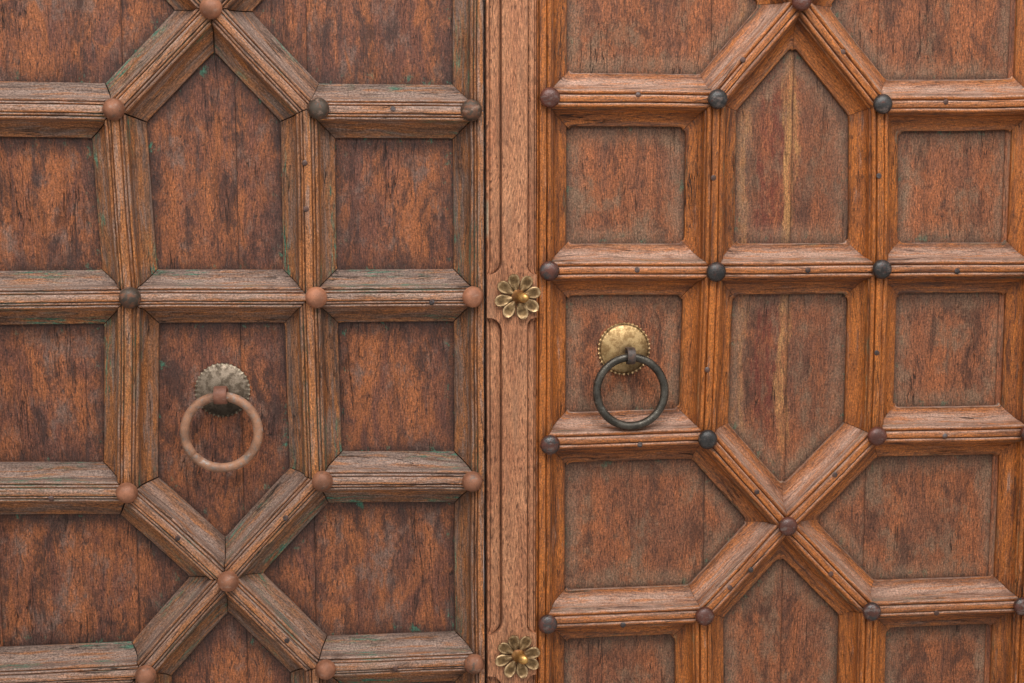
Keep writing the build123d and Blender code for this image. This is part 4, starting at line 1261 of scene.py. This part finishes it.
class DOOR_OT_rings(bpy.types.Operator):
    """Make the rings, their staples and their plates"""

    bl_idname = "door.rings"
    bl_label = "Rings"

    def execute(self, context):
        for side, (wire, out, drop, eye, strap, weld, curl, shaded_side, brass) in RINGS.items():
            leaf, iron, staple_iron = f"{side}_leaf", f"{side}_ring_iron", f"{side}_staple_iron"
            ring, plate, staple = Surface(), Surface(), Surface()
            add_ring(ring, *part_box(f"{side}_ring"), wire * MM, out * MM, weld, seed=200)
            ring.build(f"{side}_pull_ring", f"{side}_ring", iron, forged_iron(iron), [f"{side}_ring"])
            low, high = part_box(f"{side}_ring_plate")
            centre = ((low.x + high.x) / 2, (low.z + high.z) / 2)
            radius = (high.x - low.x) / 2 / MM
            low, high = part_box(f"{side}_ring_staple")
            hung = ((low.x + high.x) / 2, centre[1])
            add_plate(plate, centre, (hung[0] - 3 * MM, hung[1]), radius, curl, shaded_side, seed=210)
            plate.build(f"{side}_plate", leaf, brass, old_brass(brass), [f"{side}_ring_plate"])
            add_staple(staple, hung, out, drop, eye, strap, STRAP_THICKNESS, seed=220)
            material = forged_iron(staple_iron)
            staple.build(f"{side}_strap", leaf, staple_iron, material, [f"{side}_ring_staple"])
        return {"FINISHED"}


class DOOR_OT_frame(bpy.types.Operator):
    """Finish the frame, the stiles, the ledges and the pivots"""

    bl_idname = "door.frame"
    bl_label = "Frame and back"

    def execute(self, context):
        look = context.scene.door_look
        iron = forged_iron("pivot_iron")
        finishes = {
            plain_wood("lintel_wood", "x", palette(look, "frame")): ("threshold", "lintel"),
            plain_wood("jamb_wood", "z", palette(look, "frame")): ("left_jamb", "right_jamb"),
            plain_wood("ledge_wood", "x", palette(look, "ledge")): ("left_ledges", "right_ledges"),
            plain_wood("peg_wood", "x", palette(look, "ledge")): ("frame_pegs",),
            plain_wood("left_stile_wood", "z", palette(look, "left_board")): ("left_hanging_stile",),
            plain_wood("right_stile_wood", "z", palette(look, "right_board")): ("right_hanging_stile",),
            iron: ("pivot_sockets", "left_pintles", "right_pintles"),
        }
        for material, nodes in finishes.items():
            for node in nodes:
                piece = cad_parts[node]
                piece.data.materials.clear()
                piece.data.materials.append(material)
                if material is not iron:
                    self.ease_edges(piece, 0.0008 if node == "frame_pegs" else 0.0025)
        return {"FINISHED"}

    def ease_edges(self, piece, width):
        weld = piece.modifiers.new("Weld", "WELD")
        weld.merge_threshold = 0.00001
        ease = piece.modifiers.new("Eased edges", "BEVEL")
        ease.width = width
        ease.segments = 2
        ease.limit_method = "ANGLE"
        ease.angle_limit = math.radians(40)


# Each lamp's place, what it points at, its width and height in metres, and its power as a share of the key
LAMPS = {
    "overhead": ((-0.1, -2.5, 4.4), (0.0, 0.0, 1.45), 4.0, 2.2, 1.0),
    "back_fill": ((1.2, 3.2, 3.8), (0.0, 0.0, 1.3), 3.0, 2.2, 0.65),
}
FLOOR_HALF = 12.0
FLOOR_DEPTH = 0.001


class DOOR_OT_stage(bpy.types.Operator):
    """Make the floor, the lights and the camera"""

    bl_idname = "door.stage"
    bl_label = "Stage"

    def execute(self, context):
        stage = context.scene.door_stage
        context.scene.view_settings.view_transform = "Standard"
        self.make_floor(context)
        self.make_world(context, stage)
        for name, (place, aim, wide, high, share) in LAMPS.items():
            lamp = bpy.data.lights.new(name, "AREA")
            lamp.shape = "RECTANGLE"
            lamp.size = wide
            lamp.size_y = high
            lamp.energy = stage.key * share
            lamp.spread = math.pi
            lamp.color = (1.0, 0.985, 0.96)
            piece = self.put(context, name, lamp)
            piece.location = place
            direction = Vector(aim) - Vector(place)
            piece.rotation_euler = direction.to_track_quat("-Z", "Y").to_euler()
            piece.visible_camera = False
        camera = self.put(context, "camera", bpy.data.cameras.new("camera"))
        camera.data.lens = stage.lens
        camera.data.sensor_width = 36
        camera.location = stage.camera_place
        camera.rotation_euler = (math.pi / 2 - stage.camera_dip, 0, -stage.camera_turn)
        context.scene.camera = camera
        return {"FINISHED"}

    def put(self, context, name, data):
        piece = bpy.data.objects.new(name, data)
        context.scene.collection.objects.link(piece)
        return piece

    def make_floor(self, context):
        """A square just under the door, in a faintly speckled pale paint."""
        mesh = bpy.data.meshes.new("floor")
        corners = [(x * FLOOR_HALF, y * FLOOR_HALF, -FLOOR_DEPTH) for x, y in ((-1, -1), (1, -1), (1, 1), (-1, 1))]
        mesh.from_pydata(corners, [], [(0, 1, 2, 3)])
        f = Finish("floor_paint", (0.62, 0.61, 0.59))
        f.coat((0.66, 0.65, 0.63), f.spread(f.noise(f.place(), (30, 30), 3.0), 0.3, 0.7))
        mesh.materials.append(f.finish(0.8))
        self.put(context, "floor", mesh)

    def make_world(self, context, stage):
        """A pale background for the camera and for reflections, and a weak light from all round."""
        world = bpy.data.worlds.new("studio")
        context.scene.world = world
        world.use_nodes = True
        tree = world.node_tree
        back = tree.nodes["Background"]
        feed(tree, back.inputs["Color"], (1.0, 0.99, 0.97))
        path = tree.nodes.new("ShaderNodeLightPath").outputs
        seen = path["Is Camera Ray"]
        for ray in ("Is Glossy Ray", "Is Transmission Ray"):
            seen = add_node(tree, "ShaderNodeMath", {0: seen, 1: path[ray]}, operation="MAXIMUM")
        strength = add_node(tree, "ShaderNodeMapRange", {"Value": seen, "To Min": stage.sky, "To Max": 1.0})
        feed(tree, back.inputs["Strength"], strength)


class DOOR_PT_panel(bpy.types.Panel):
    """The pieces of the door, in the order of their making"""

    bl_label = "Temple Door"
    bl_idname = "DOOR_PT_panel"
    bl_space_type = "VIEW_3D"
    bl_region_type = "UI"
    bl_category = "Temple Door"

    def draw(self, context):
        for operator in OPERATORS:
            self.layout.operator(operator.bl_idname)


OPERATORS = (
    DOOR_OT_stage, DOOR_OT_boards, DOOR_OT_mouldings, DOOR_OT_studs, DOOR_OT_nails,
    DOOR_OT_strip, DOOR_OT_flowers, DOOR_OT_rings, DOOR_OT_frame,
)
SETTINGS = {"door_shape": DoorShape, "door_look": DoorLook, "door_stage": DoorStage}
CLASSES = (*SETTINGS.values(), *OPERATORS, DOOR_PT_panel)


def register():
    for cls in CLASSES:
        bpy.utils.register_class(cls)
    for name, cls in SETTINGS.items():
        setattr(bpy.types.Scene, name, PointerProperty(type=cls))


def unregister():
    for name in SETTINGS:
        delattr(bpy.types.Scene, name)
    for cls in reversed(CLASSES):
        bpy.utils.unregister_class(cls)


def main():
    register()
    for operator in OPERATORS:
        category, name = operator.bl_idname.split(".")
        getattr(getattr(bpy.ops, category), name)()


if __name__ == "__main__":
    main()
